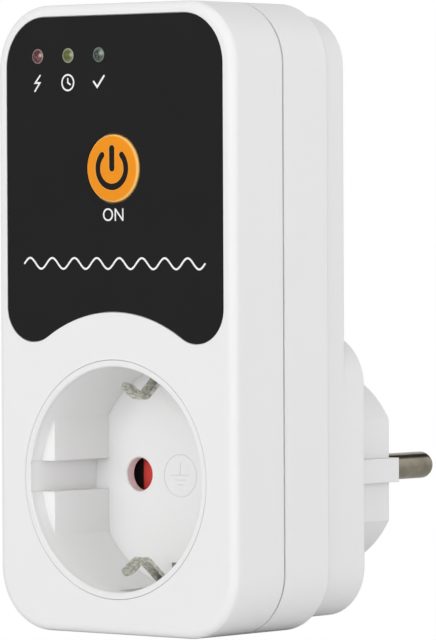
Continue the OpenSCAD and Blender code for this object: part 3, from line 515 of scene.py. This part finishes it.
def coatedGrain(name, look):
    material, tree, shader = newMaterial(name, {
        "Coat Weight": look["coat"], "Coat Roughness": look["coatRoughness"]})
    grain = placeGroup(tree, mouldGrain, Flow=look["flow"], Grain=look["grain"], Gloss=look["gloss"],
                       Spread=look["spread"])
    feed(tree, shader.inputs["Base Color"], grain.outputs["Color"])
    feed(tree, shader.inputs["Roughness"], grain.outputs["Roughness"])
    return material, tree, shader, grain


bandedUsual = {
    "coat": 0.4, "coatRoughness": 0.15, "flow": 0.1, "grain": 2500.0, "gloss": 0.35, "spread": 0.15,
    "bump": 0.2, "bumpDepth": 0.02,     # mm
}


def bandedBody(name, bands, node):
    material, tree, shader, grain = coatedGrain(name, bandedUsual)
    low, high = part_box(node)
    across = placeGroup(tree, bodyShare, Start=low.x, Length=high.x - low.x)
    feed(tree, grain.inputs["Color"], colorRamp(tree, across.outputs["Share"], bands, "CONSTANT"))
    addBump(tree, shader, grain.outputs["Height"], None, bandedUsual)
    return material


def boardLaminate(name, look):
    material, tree, shader, grain = coatedGrain(name, look)
    where = coordinates(tree)
    turned = tree.nodes.new("ShaderNodeMapping")        # the board stands, facing the front
    turned.inputs["Rotation"].default_value = (pi / 2, 0, 0)
    feed(tree, turned.inputs["Vector"], where)
    tracks = tree.nodes.new("ShaderNodeTexBrick")
    for label, value in (("Scale", 1.0), ("Bias", 0.0), ("Mortar Size", look["trackWidth"] * mm),
                         ("Brick Width", look["trackLength"] * mm), ("Row Height", look["trackPitch"] * mm)):
        tracks.inputs[label].default_value = value
    feed(tree, tracks.inputs["Vector"], turned.outputs[0])
    feed(tree, grain.inputs["Color"],
         mixColor(tree, tracks.outputs["Fac"], look["lacquer"], look["track"]))
    weave = noiseNode(tree, where, look["weave"], look["weaveDetail"])
    addBump(tree, shader, mathNode(tree, "ADD", weave, tracks.outputs["Fac"]), None, look)
    return material


housingWhite = {
    "color": (0.778, 0.778, 0.778, 1), "flow": 0.02, "grain": 2600.0, "gloss": 0.45, "spread": 0.12,
    "specular": 0.25, "edge": 0.2, "wear": 0.25, "dust": 0.12, "reach": 1.2, "bump": 0.12}
whitePlastic = mouldedPlastic("whitePlastic", housingWhite)
# The cup's white is painted paler than the housing's, as painted light that brightens the recess; its rim
# keeps the housing's white.
cupPlastic = mouldedPlastic("cupPlastic", {
    **housingWhite, "color": (0.852, 0.852, 0.852, 1), "rimColor": (0.775, 0.775, 0.775, 1),
    "rimFace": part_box("socket_cup")[0].y, "rimDepth": 1.5})     # mm from the rim to where the painted light is full
labelFilm = mouldedPlastic("labelFilm", {
    "color": (0.0115, 0.0115, 0.012, 1), "flow": 0.15, "grain": 4200.0, "gloss": 0.55, "spread": 0.12,
    "specular": 0.11, "edge": 0.08, "wear": 0.15, "wornAndHighlightColor": (0.08, 0.08, 0.08, 1), "dust": 0.03})
# The button's pale edges are partly edge wear and partly a painted highlight; its rim turning away from the
# front is all painted highlight.
buttonPlastic = mouldedPlastic("buttonPlastic", {
    "color": (0.85, 0.28, 0.001, 1), "flow": 0.12, "grain": 1600.0, "gloss": 0.38, "edge": 0.22,
    "rim": 0.95, "rimStart": -0.97, "rimFull": -0.7,    # Y of the normal where the painted highlight starts and is full; -1 looks to the front
    "wear": 0.9, "wornAndHighlightColor": (1.0, 0.61, 0.19, 1), "dust": 0.04, "specular": 0.25})
printInk = mouldedPlastic("printInk", {
    "color": (0.86, 0.86, 0.85, 1), "flow": 0.15, "grain": 6000.0, "gloss": 0.6, "edge": 0.02,
    "wear": 0.1})
symbolInk = mouldedPlastic("symbolInk", {
    "color": (0.014, 0.009, 0.006, 1), "flow": 0.2, "grain": 5000.0, "gloss": 0.5, "edge": 0.03,
    "wear": 0.1, "specular": 0.12, "wornAndHighlightColor": (0.1, 0.07, 0.04, 1)})
shutterPlastic = mouldedPlastic("shutterPlastic", {
    "color": (1.0, 0.1, 0.08, 1), "flow": 0.15, "gloss": 0.25, "coat": 0.9, "wear": 0.6,
    "wornAndHighlightColor": (1.0, 0.35, 0.3, 1)})
innerPlastic = mouldedPlastic("innerPlastic", {
    "color": (0.02, 0.018, 0.018, 1), "flow": 0.1, "grain": 1800.0, "gloss": 0.55, "bump": 0.3,
    "wornAndHighlightColor": (0.08, 0.08, 0.08, 1), "dust": 0.03})
blackPlastic = mouldedPlastic("blackPlastic", {
    "color": (0.02, 0.02, 0.021, 1), "flow": 0.2, "grain": 2200.0, "gloss": 0.5, "bump": 0.3,
    "wornAndHighlightColor": (0.12, 0.12, 0.12, 1)})
relayPlastic = mouldedPlastic("relayPlastic", {
    "color": (0.02, 0.075, 0.28, 1), "flow": 0.12, "gloss": 0.3, "coat": 0.3,
    "wornAndHighlightColor": (0.2, 0.3, 0.5, 1)})
filmPlastic = mouldedPlastic("filmPlastic", {
    "color": (0.62, 0.4, 0.035, 1), "flow": 0.12, "gloss": 0.35, "wornAndHighlightColor": (0.8, 0.6, 0.3, 1)})
varistorCoat = mouldedPlastic("varistorCoat", {
    "color": (0.03, 0.13, 0.4, 1), "flow": 0.2, "grain": 1200.0, "gloss": 0.42, "spread": 0.3,
    "bump": 0.6, "wornAndHighlightColor": (0.2, 0.3, 0.5, 1)})
canSleeve = mouldedPlastic("canSleeve", {
    "color": (0.015, 0.018, 0.05, 1), "flow": 0.2, "gloss": 0.25, "wornAndHighlightColor": (0.35, 0.35, 0.36, 1),
    "wear": 0.7})
brownInsulation = mouldedPlastic("brownInsulation", {
    "color": (0.12, 0.045, 0.02, 1), "flow": 0.1, "gloss": 0.4, "wornAndHighlightColor": (0.25, 0.12, 0.08, 1)})
blueInsulation = mouldedPlastic("blueInsulation", {
    "color": (0.02, 0.13, 0.42, 1), "flow": 0.1, "gloss": 0.4, "wornAndHighlightColor": (0.2, 0.35, 0.6, 1)})
pinNickel = platedMetal("pinNickel", {
    "color": (0.44, 0.395, 0.31, 1), "stretch": (0.25, 3.0, 0.25), "lines": 2600.0, "gloss": 0.17,
    "spread": 0.14})
clipNickel = platedMetal("clipNickel", {
    "color": (0.8, 0.8, 0.69, 1), "stretch": (0.3, 2.0, 2.0), "lines": 2200.0, "stains": 1500.0,
    "darkest": 0.3, "gloss": 0.36, "spread": 0.25, "edge": 0.16, "wear": 0.7,
    "wornAndHighlightColor": (0.3, 0.29, 0.26, 1), "reach": 4.0, "tarnish": 1.6})
contactBrass = platedMetal("contactBrass", {
    "color": (0.68, 0.46, 0.17, 1), "lines": 1500.0, "gloss": 0.32, "wornAndHighlightColor": (0.9, 0.7, 0.4, 1)})
coilCopper = platedMetal("coilCopper", {
    "color": (0.55, 0.2, 0.07, 1), "lines": 1500.0, "gloss": 0.28, "wornAndHighlightColor": (0.8, 0.4, 0.2, 1)})
softIron = platedMetal("softIron", {
    "color": (0.42, 0.42, 0.41, 1), "stretch": (1, 0.2, 1), "lines": 2600.0, "gloss": 0.4})
zincSteel = platedMetal("zincSteel", {
    "color": (0.5, 0.5, 0.48, 1), "lines": 1800.0, "gloss": 0.38, "spread": 0.3})
solderTin = platedMetal("solderTin", {
    "color": (0.58, 0.58, 0.57, 1), "lines": 900.0, "gloss": 0.28, "spread": 0.35})
springSteel = platedMetal("springSteel", {
    "color": (0.55, 0.54, 0.52, 1), "lines": 3000.0, "gloss": 0.22})
boardGreen = boardLaminate("boardGreen", {
    "lacquer": (0.02, 0.115, 0.035, 1), "track": (0.05, 0.2, 0.06, 1),
    "trackWidth": 0.6, "trackLength": 9, "trackPitch": 4.2,     # mm
    "weave": 1800.0, "weaveDetail": 1.0, "coat": 0.5, "coatRoughness": 0.2, "flow": 0.15,
    "grain": 2200.0, "gloss": 0.38, "spread": 0.2, "bump": 0.3, "bumpDepth": 0.03})

# Bands from one end to the other, with the leads at both ends
leadTin, tanLacquer, blackMoulding = (0.5, 0.5, 0.5, 1), (0.55, 0.4, 0.22, 1), (0.02, 0.02, 0.02, 1)
resistorTan = bandedBody("resistorTan", [
    (0.0, leadTin), (0.14, tanLacquer), (0.26, (0.5, 0.25, 0.02, 1)), (0.32, tanLacquer),
    (0.4, (0.02, 0.02, 0.02, 1)), (0.46, tanLacquer), (0.54, (0.3, 0.02, 0.02, 1)),
    (0.6, tanLacquer), (0.74, (0.6, 0.45, 0.1, 1)), (0.8, tanLacquer), (0.88, leadTin),
], "dropper_resistor")
diodeBlack = bandedBody("diodeBlack", [
    (0.0, leadTin), (0.14, blackMoulding), (0.68, (0.6, 0.6, 0.6, 1)), (0.78, blackMoulding),
    (0.87, leadTin),
], "rectifier_diodes")

lensUsual = {
    "radius": 1.28,         # mm
    "specular": 0.2, "roughness": 0.3, "coat": 0.15, "coatRoughness": 0.15,
}
# The painted glint's place and radius in mm, from the lens's middle; the sparkle colour paints the specks
# and the painted glint; the rings' places from middle to rim
lensLooks = {
    "led_red": {
        "glint": (0.75, 0.15), "glintRadius": 0.62, "sparkle": (0.48, 0.29, 0.29, 1),
        "rings": [(0.0, (0.085, 0.016, 0.022, 1)), (0.45, (0.045, 0.004, 0.008, 1)),
                  (0.78, (0.07, 0.016, 0.02, 1)), (0.95, (0.25, 0.2, 0.19, 1))]},
    "led_yellow": {
        "glint": (0.85, 0.1), "glintRadius": 0.6, "sparkle": (0.3, 0.32, 0.22, 1),
        "rings": [(0.0, (0.11, 0.125, 0.03, 1)), (0.45, (0.065, 0.08, 0.01, 1)),
                  (0.78, (0.13, 0.15, 0.05, 1)), (0.95, (0.31, 0.32, 0.25, 1))]},
    "led_green": {
        "glint": (0.7, 0.3), "glintRadius": 0.75, "sparkle": (0.28, 0.33, 0.3, 1),
        "rings": [(0.0, (0.045, 0.065, 0.055, 1)), (0.45, (0.008, 0.018, 0.013, 1)),
                  (0.78, (0.05, 0.07, 0.06, 1)), (0.95, (0.16, 0.165, 0.16, 1))]},
}


def lensMaterial(node, ownLook):
    look = {**lensUsual, **ownLook}
    material, tree, shader = newMaterial(node + "Lens", {
        "Roughness": look["roughness"], "Specular IOR Level": look["specular"],
        "Coat Weight": look["coat"], "Coat Roughness": look["coatRoughness"]})
    x, _, z = boxMiddle(node)
    glintX, glintZ = look["glint"]
    shine = placeGroup(tree, lensPaintedGlint, Middle=(x, 0, z), Radius=look["radius"] * mm,
                       Glint=(glintX * mm, 0, glintZ * mm), GlintRadius=look["glintRadius"] * mm)
    rings = colorRamp(tree, shine.outputs["Share"], look["rings"])
    feed(tree, shader.inputs["Base Color"],
         mixColor(tree, shine.outputs["Shine"], rings, look["sparkle"]))
    return material


nodeMaterials = {
    "front_cover": whitePlastic, "rear_housing": whitePlastic, "socket_cup": cupPlastic,
    "label_panel": labelFilm, "start_button": buttonPlastic, "shutter": shutterPlastic,
    "contact_carrier": innerPlastic, "line_contact": contactBrass, "neutral_contact": contactBrass,
    "earth_bracket": clipNickel, "plug_earth_top": clipNickel, "plug_earth_bottom": clipNickel,
    "plug_pin_line": pinNickel, "plug_pin_neutral": pinNickel, "circuit_board": boardGreen,
    "tact_switch": blackPlastic, "switch_plunger": blackPlastic, "relay_base": relayPlastic,
    "relay_case": relayPlastic, "relay_coil": coilCopper, "relay_yoke": softIron,
    "relay_armature": softIron, "relay_contacts": contactBrass, "varistor": varistorCoat,
    "film_capacitor": filmPlastic, "electrolytic_capacitor": canSleeve, "control_chip": blackPlastic,
    "rectifier_diodes": diodeBlack, "dropper_resistor": resistorTan, "line_in_wire": brownInsulation,
    "line_out_wire": brownInsulation, "neutral_wire": blueInsulation,
    "neutral_tap_wire": blueInsulation, "shutter_spring": springSteel, "housing_screws": zincSteel,
    "board_screws": zincSteel, "carrier_screws": zincSteel,
}
for node, look in lensLooks.items():
    nodeMaterials[node] = lensMaterial(node, look)
for node, material in nodeMaterials.items():
    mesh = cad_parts[node].data
    mesh.materials.clear()
    mesh.materials.append(material)
print("materials on", len(nodeMaterials), "nodes")


# Thin marks: printed, inked or moulded strokes on a face that looks to the front

strokeLook = {
    "capSteps": 6,          # round ends
    "sharpest": 0.35,       # keeps the point of a sharp corner short
}


def sideStep(points, i, closed):
    last = len(points) - 1
    before = points[i - 1] if i > 0 or closed else points[i]
    after = points[(i + 1) % len(points)] if i < last or closed else points[i]
    a, b = points[i] - before, after - points[i]
    a = a.normalized() if a.length else b.normalized()
    b = b.normalized() if b.length else a
    along = (a + b).normalized()
    return Vector((-along.y, along.x)) / max(strokeLook["sharpest"], along.dot(a))


def roundCap(end, start):
    steps = strokeLook["capSteps"]
    return [end + Matrix.Rotation(-pi * k / steps, 2) @ (start - end) for k in range(1, steps)]


def strokeRings(points, width, closed):
    half = width / 2
    left = [p + half * sideStep(points, i, closed) for i, p in enumerate(points)]
    right = [p - half * sideStep(points, i, closed) for i, p in enumerate(points)]
    if closed:
        return [left, right]
    return [left + roundCap(points[-1], left[-1]) + right[::-1] + roundCap(points[0], right[0])]


def finishPiece(name, mesh, material, body):
    shape = bmesh.new()
    shape.from_mesh(mesh)
    bmesh.ops.recalc_face_normals(shape, faces=shape.faces)
    bmesh.ops.triangulate(shape, faces=[f for f in shape.faces if len(f.verts) > 4])
    shape.to_mesh(mesh)
    shape.free()
    mesh.materials.clear()
    mesh.materials.append(material)
    piece = addObject(name, mesh)
    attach(piece, body)
    return piece


def markPiece(name, strokes, centre, face, depth, material, body):
    # a stroke is its points, its width and whether it closes; all in mm
    verts, faces = [], []
    for points, width, closed in strokes:
        rings = strokeRings([Vector(p) for p in points], width, closed)
        n, base = len(rings[0]), len(verts)
        for level in (face, face - depth):
            for ring in rings:
                verts += [((centre[0] + p.x) * mm, level * mm, (centre[1] + p.y) * mm) for p in ring]
        pairs = [(i, (i + 1) % n) for i in range(n)]
        if closed:
            a, b, c, d = (base + n * k for k in range(4))      # left and right ring behind, then in front
            for i, j in pairs:
                faces += [(a + i, a + j, b + j, b + i), (c + i, d + i, d + j, c + j),
                          (a + i, c + i, c + j, a + j), (b + j, d + j, d + i, b + i)]
        else:
            a, b = base, base + n       # behind, then in front
            faces += [tuple(range(a, a + n)), tuple(reversed(range(b, b + n)))]
            faces += [(a + i, b + i, b + j, a + j) for i, j in pairs]
    mesh = bpy.data.meshes.new(name)
    mesh.from_pydata(verts, [], faces)
    mesh.validate()
    return finishPiece(name, mesh, material, body)


def bakedMesh(holder):
    made = bpy.data.meshes.new_from_object(
        holder.evaluated_get(bpy.context.evaluated_depsgraph_get()))
    bpy.data.objects.remove(holder)
    return made


def arcPoints(radius, start, end, steps):
    angles = [radians(start + (end - start) * k / steps) for k in range(steps + 1)]
    return [(radius * cos(angle), radius * sin(angle)) for angle in angles]


def circlePoints(radius, steps):
    return arcPoints(radius, 0, 360, steps)[:-1]


def faceMiddle(node):
    x, _, z = boxMiddle(node)
    return x / mm, z / mm


powerSymbol = {
    "radius": 3.2, "line": 1.08, "steps": 48,
    "gapAngle": 44,         # degrees that the ring leaves open on each side of the bar
    "barLine": 1.18, "barLow": 0.05, "barTop": 3.4,
    "grooveDepth": 0.25,
    "below": 0.04,          # how far the ink stays below the button's face
}


def buildPowerSymbol(look):
    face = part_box("start_button")[0].y / mm
    gap = look["gapAngle"]      # the ring runs from one side of the bar, at 90 degrees, round to the other
    strokes = [(arcPoints(look["radius"], 90 + gap, 450 - gap, look["steps"]), look["line"], False),
               ([(0, look["barLow"]), (0, look["barTop"])], look["barLine"], False)]
    markPiece("powerSymbol", strokes, faceMiddle("start_button"), face + look["grooveDepth"],
              look["grooveDepth"] - look["below"], symbolInk, "button")


printing = {
    "thickness": 0.025,
    "iconDrop": 4.7,        # from a light's middle to its icon's
    "iconSize": 1.35,       # half height
    "line": 0.3,
    "clockSteps": 40,
    "captionDrop": 8.1,     # from the button's middle to the word's
    "captionHeight": 2.3,
    "capitalShare": 0.73,   # height of a capital over the font's size
    "captionSteps": 8,
    "waveDrop": 16.4,       # from the button's middle to the wave's
    "waveHalfWidth": 20.6,
    "waveHeight": 0.95,
    "waveLength": 5.15,
    "waveLine": 0.34,
    "waveSteps": 160,
}


# The icons' points are shares of their half height

def boltIcon(size, line):
    return [([(0.45 * size, size), (-0.4 * size, 0.05 * size), (0.4 * size, 0.05 * size),
              (-0.45 * size, -size)], line, False)]


def clockIcon(size, line):
    hand = 0.5 * size
    return [(circlePoints(size, printing["clockSteps"]), line, True),
            ([(0, hand), (0, 0), (hand * 0.8, -0.25 * size)], line, False)]


def tickIcon(size, line):
    return [([(-0.8 * size, 0.05 * size), (-0.2 * size, -0.65 * size), (0.95 * size, 0.75 * size)],
             line * 1.2, False)]


def buildIcons(look, face):
    for name, node, icon in (("boltMark", "led_red", boltIcon), ("clockMark", "led_yellow", clockIcon),
                             ("tickMark", "led_green", tickIcon)):
        x, z = faceMiddle(node)
        markPiece(name, icon(look["iconSize"], look["line"]), (x, z - look["iconDrop"]), face,
                  look["thickness"], printInk, "housing")


def buildWave(look, face, x, z):
    half, steps = look["waveHalfWidth"], look["waveSteps"]
    across = [-half + 2 * half * k / steps for k in range(steps + 1)]
    wave = [(s, look["waveHeight"] * sin(2 * pi * s / look["waveLength"])) for s in across]
    markPiece("waveMark", [(wave, look["waveLine"], False)], (x, z - look["waveDrop"]), face,
              look["thickness"], printInk, "housing")


def buildCaption(look, face, x, z):
    words = bpy.data.curves.new("caption", "FONT")
    words.body = "ON"
    words.size = look["captionHeight"] / look["capitalShare"] * mm
    words.align_x = "CENTER"
    words.align_y = "CENTER"
    words.extrude = look["thickness"] / 2 * mm
    words.resolution_u = look["captionSteps"]
    mesh = bakedMesh(addObject("captionCurve", words))
    place = Vector((x * mm, (face - look["thickness"] / 2) * mm, (z - look["captionDrop"]) * mm))
    mesh.transform(Matrix.Translation(place) @ Matrix.Rotation(pi / 2, 4, "X"))
    finishPiece("captionMark", mesh, printInk, "housing")


def buildPrinting(look):
    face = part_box("label_panel")[0].y / mm
    buildIcons(look, face)
    x, z = faceMiddle("start_button")
    buildWave(look, face, x, z)
    buildCaption(look, face, x, z)


earthMark = {
    "radius": 3.7, "line": 0.16, "height": 0.03, "sink": 0.02, "steps": 72,
    "stem": (2.2, 0.1), "bars": ((1.9, 0.1), (1.25, -0.75), (0.6, -1.6)),   # half length, place
    "floorThickness": 2.0,  # of the recess's floor
    "shutterGap": 0.1,      # between that floor and the shutter
}


def buildEarthMark(look):
    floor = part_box("shutter")[0].y / mm - look["floorThickness"] - look["shutterGap"]
    line = look["line"]
    top, foot = look["stem"]
    strokes = [(circlePoints(look["radius"], look["steps"]), line, True),
               ([(0, top), (0, foot + line)], line, False)]
    strokes += [([(-half, z), (half, z)], line, False) for half, z in look["bars"]]
    markPiece("earthMark", strokes, (0, 0), floor + look["sink"], look["height"] + look["sink"],
              cupPlastic, "housing")


buildPowerSymbol(powerSymbol)
buildPrinting(printing)
buildEarthMark(earthMark)
print("marks made")


# Geometry trees, and the pieces baked from them

def chain(tree, pairs):
    for source, socket in pairs:
        tree.links.new(source, socket)


def endTree(tree, shape, given, result):
    real = tree.nodes.new("GeometryNodeRealizeInstances")
    paint = tree.nodes.new("GeometryNodeSetMaterial")
    chain(tree, ((shape, real.inputs[0]), (real.outputs[0], paint.inputs["Geometry"]),
                 (given["Material"], paint.inputs["Material"]), (paint.outputs[0], result.inputs[0])))
    return tree


def sweepTree():
    tree, group, result = newTree(
        "sweptWire", "GeometryNodeTree",
        [("Geometry", "Geometry", None), ("Radius", "Float", 0.001), ("Sides", "Int", 16),
         ("Material", "Material", None)], [("Geometry", "Geometry")])
    given = group.outputs
    path = tree.nodes.new("GeometryNodeMeshToCurve")
    ring = tree.nodes.new("GeometryNodeCurvePrimitiveCircle")
    sweep = tree.nodes.new("GeometryNodeCurveToMesh")
    sweep.inputs["Fill Caps"].default_value = True
    smooth = tree.nodes.new("GeometryNodeSetShadeSmooth")
    chain(tree, ((given["Geometry"], path.inputs[0]), (given["Sides"], ring.inputs["Resolution"]),
                 (given["Radius"], ring.inputs["Radius"]), (path.outputs[0], sweep.inputs["Curve"]),
                 (ring.outputs["Curve"], sweep.inputs["Profile Curve"]),
                 (sweep.outputs[0], smooth.inputs[0])))
    return endTree(tree, smooth.outputs[0], given, result)


soldering = {
    "radius": 0.85, "height": 0.7, "tipRadius": 0.3,    # mm
    "sides": 20, "rings": 4,
    "turn": 0.4,            # radians that each joint is turned at most, to either side
    "seed": 3,
    "leads": {      # half the distance between a piece's leads, across from its box's middle
        "film_capacitor": 7.5, "varistor": 2.6, "electrolytic_capacitor": 2, "dropper_resistor": 5.3,
    },
}


def solderTree(look):
    tree, group, result = newTree(
        "solderJoints", "GeometryNodeTree",
        [("Geometry", "Geometry", None), ("Radius", "Float", 0.0009), ("Height", "Float", 0.0008),
         ("Seed", "Int", look["seed"]), ("Material", "Material", None)], [("Geometry", "Geometry")])
    given = group.outputs
    drop = tree.nodes.new("GeometryNodeMeshCone")
    drop.inputs["Vertices"].default_value = look["sides"]
    drop.inputs["Side Segments"].default_value = look["rings"]
    drop.inputs["Radius Top"].default_value = look["tipRadius"] * mm
    smooth = tree.nodes.new("GeometryNodeSetShadeSmooth")
    turn = tree.nodes.new("FunctionNodeRandomValue")
    turn.data_type = "FLOAT_VECTOR"
    turn.inputs[0].default_value = (pi / 2, 0, -look["turn"])
    turn.inputs[1].default_value = (pi / 2, 0, look["turn"])
    put = tree.nodes.new("GeometryNodeInstanceOnPoints")
    chain(tree, ((given["Radius"], drop.inputs["Radius Bottom"]), (given["Height"], drop.inputs["Depth"]),
                 (drop.outputs["Mesh"], smooth.inputs[0]), (given["Geometry"], put.inputs["Points"]),
                 (smooth.outputs[0], put.inputs["Instance"]), (given["Seed"], turn.inputs["Seed"]),
                 (turn.outputs[0], put.inputs["Rotation"])))
    return endTree(tree, put.outputs[0], given, result)


def bakeTree(name, verts, edges, tree, values):
    mesh = bpy.data.meshes.new(name + "Path")
    mesh.from_pydata([tuple(v) for v in verts], edges, [])
    holder = addObject(name + "Path", mesh)
    nodes = holder.modifiers.new("made", "NODES")
    nodes.node_group = tree
    for item in tree.interface.items_tree:
        if item.in_out == "INPUT" and item.name in values:
            nodes[item.identifier] = values[item.name]
    made = bakedMesh(holder)
    made.name = name
    return finishPiece(name, made, values["Material"], "housing")


def sweptPiece(name, points, look, material):
    edges = [(i, i + 1) for i in range(len(points) - 1)]
    values = {"Radius": look["wireRadius"] * mm, "Sides": look["sides"], "Material": material}
    return bakeTree(name, points, edges, sweptWire, values)


def coilPoints(start, end, radius, turns, steps):
    # places on a coil, as [along its axis, across it, across it the other way]
    count = turns * steps
    return [(start + (end - start) * k / count, radius * cos(2 * pi * k / steps),
             radius * sin(2 * pi * k / steps)) for k in range(count + 1)]


sweptWire = sweepTree()
solderJoints = solderTree(soldering)

# Routes counted from the front face, as [across, depth, height] in mm
wiring = {
    "wireRadius": 0.95, "sides": 20, "steps": 10, "frontFace": -56.4,
    "routes": {
        "line_in_wire": [
            (9.5, 46.7, 0), (9.5, 43.5, 0), (11.2, 42, 5), (11.2, 37, 7.8), (11.5, 32, 13.5),
            (15, 29, 19), (20.5, 27, 26), (21, 22, 34), (20.5, 17.5, 45), (20.5, 12.4, 45)],
        "line_out_wire": [
            (9.5, 36.2, 3.95), (9.5, 39, 3.95), (5, 40, 6), (3, 36, 11), (4.5, 31, 16),
            (8, 28, 20), (12, 26.5, 25), (16.5, 24, 31.5), (17.3, 18, 39), (17.3, 12.4, 39)],
        "neutral_wire": [(-9.5, 46.7, 0), (-9.5, 44, 0), (-9.5, 41.5, -4.4), (-9.5, 36.2, -4.05)],
        "neutral_tap_wire": [
            (-9.5, 36.2, 3.95), (-9.5, 39, 3.95), (-8.5, 39, 9), (-8, 35.5, 12.6), (-8.5, 30, 16),
            (-7, 27, 24), (-5, 22, 31), (-5, 17, 33), (-5, 12.4, 33)],
    },
}


def roundedRoute(route, steps):
    last = len(route) - 1
    points = [route[0]]
    for i in range(1, last):
        a = route[0] if i == 1 else (route[i - 1] + route[i]) / 2
        c = route[last] if i == last - 1 else (route[i] + route[i + 1]) / 2
        for k in range(1, steps + 1):
            t = k / steps
            points.append((1 - t) ** 2 * a + 2 * t * (1 - t) * route[i] + t * t * c)
    return points


def buildWires(look):
    for node, route in look["routes"].items():
        places = [Vector((x, y + look["frontFace"], z)) * mm for x, y, z in route]
        piece = sweptPiece(node.replace("_", "") + "Insulation", roundedRoute(places, look["steps"]),
                           look, nodeMaterials[node])
        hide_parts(node)


spring = {"turns": 6, "coilRadius": 0.85, "wireRadius": 0.14, "steps": 18, "sides": 10, "keep": 0.27}


def buildSpring(look):
    low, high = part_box("shutter_spring")
    _, y, z = boxMiddle("shutter_spring")
    coil = coilPoints(low.x + look["wireRadius"] * mm, high.x - look["wireRadius"] * mm,
                      look["coilRadius"] * mm, look["turns"], look["steps"])
    piece = sweptPiece("shutterSpringCoil", [(x, y + a, z + b) for x, a, b in coil], look, springSteel)
    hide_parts("shutter_spring")
    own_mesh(piece)


winding = {
    "coilRadius": 4.2, "wireRadius": 0.09, "bobbinFlange": 0.8, "steps": 36, "sides": 8,
    "proud": 0.7,           # share of the wire's radius by which its middle stands off the coil
}


def buildWinding(look):
    low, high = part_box("relay_coil")
    x, _, z = boxMiddle("relay_coil")
    wire = look["wireRadius"]
    start = low.y + (look["bobbinFlange"] + wire) * mm
    end = high.y - (look["bobbinFlange"] + wire) * mm
    turns = int((end - start) / (2 * wire * mm))
    coil = coilPoints(start, end, (look["coilRadius"] + wire * look["proud"]) * mm, turns, look["steps"])
    sweptPiece("coilWinding", [(x + a, y, z + b) for y, a, b in coil], look, coilCopper)


def buildSolder(look):
    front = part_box("circuit_board")[0].y
    points = []
    for node, reach in look["leads"].items():
        x, z = faceMiddle(node)
        points += [((x + side * reach) * mm, front, z * mm) for side in (-1, 1)]
    values = {"Radius": look["radius"] * mm, "Height": look["height"] * mm, "Seed": look["seed"],
              "Material": solderTin}
    bakeTree("boardSolder", points, [], solderJoints, values)


buildWires(wiring)
buildSpring(spring)
buildWinding(winding)
buildSolder(soldering)
print("swept pieces and solder made")
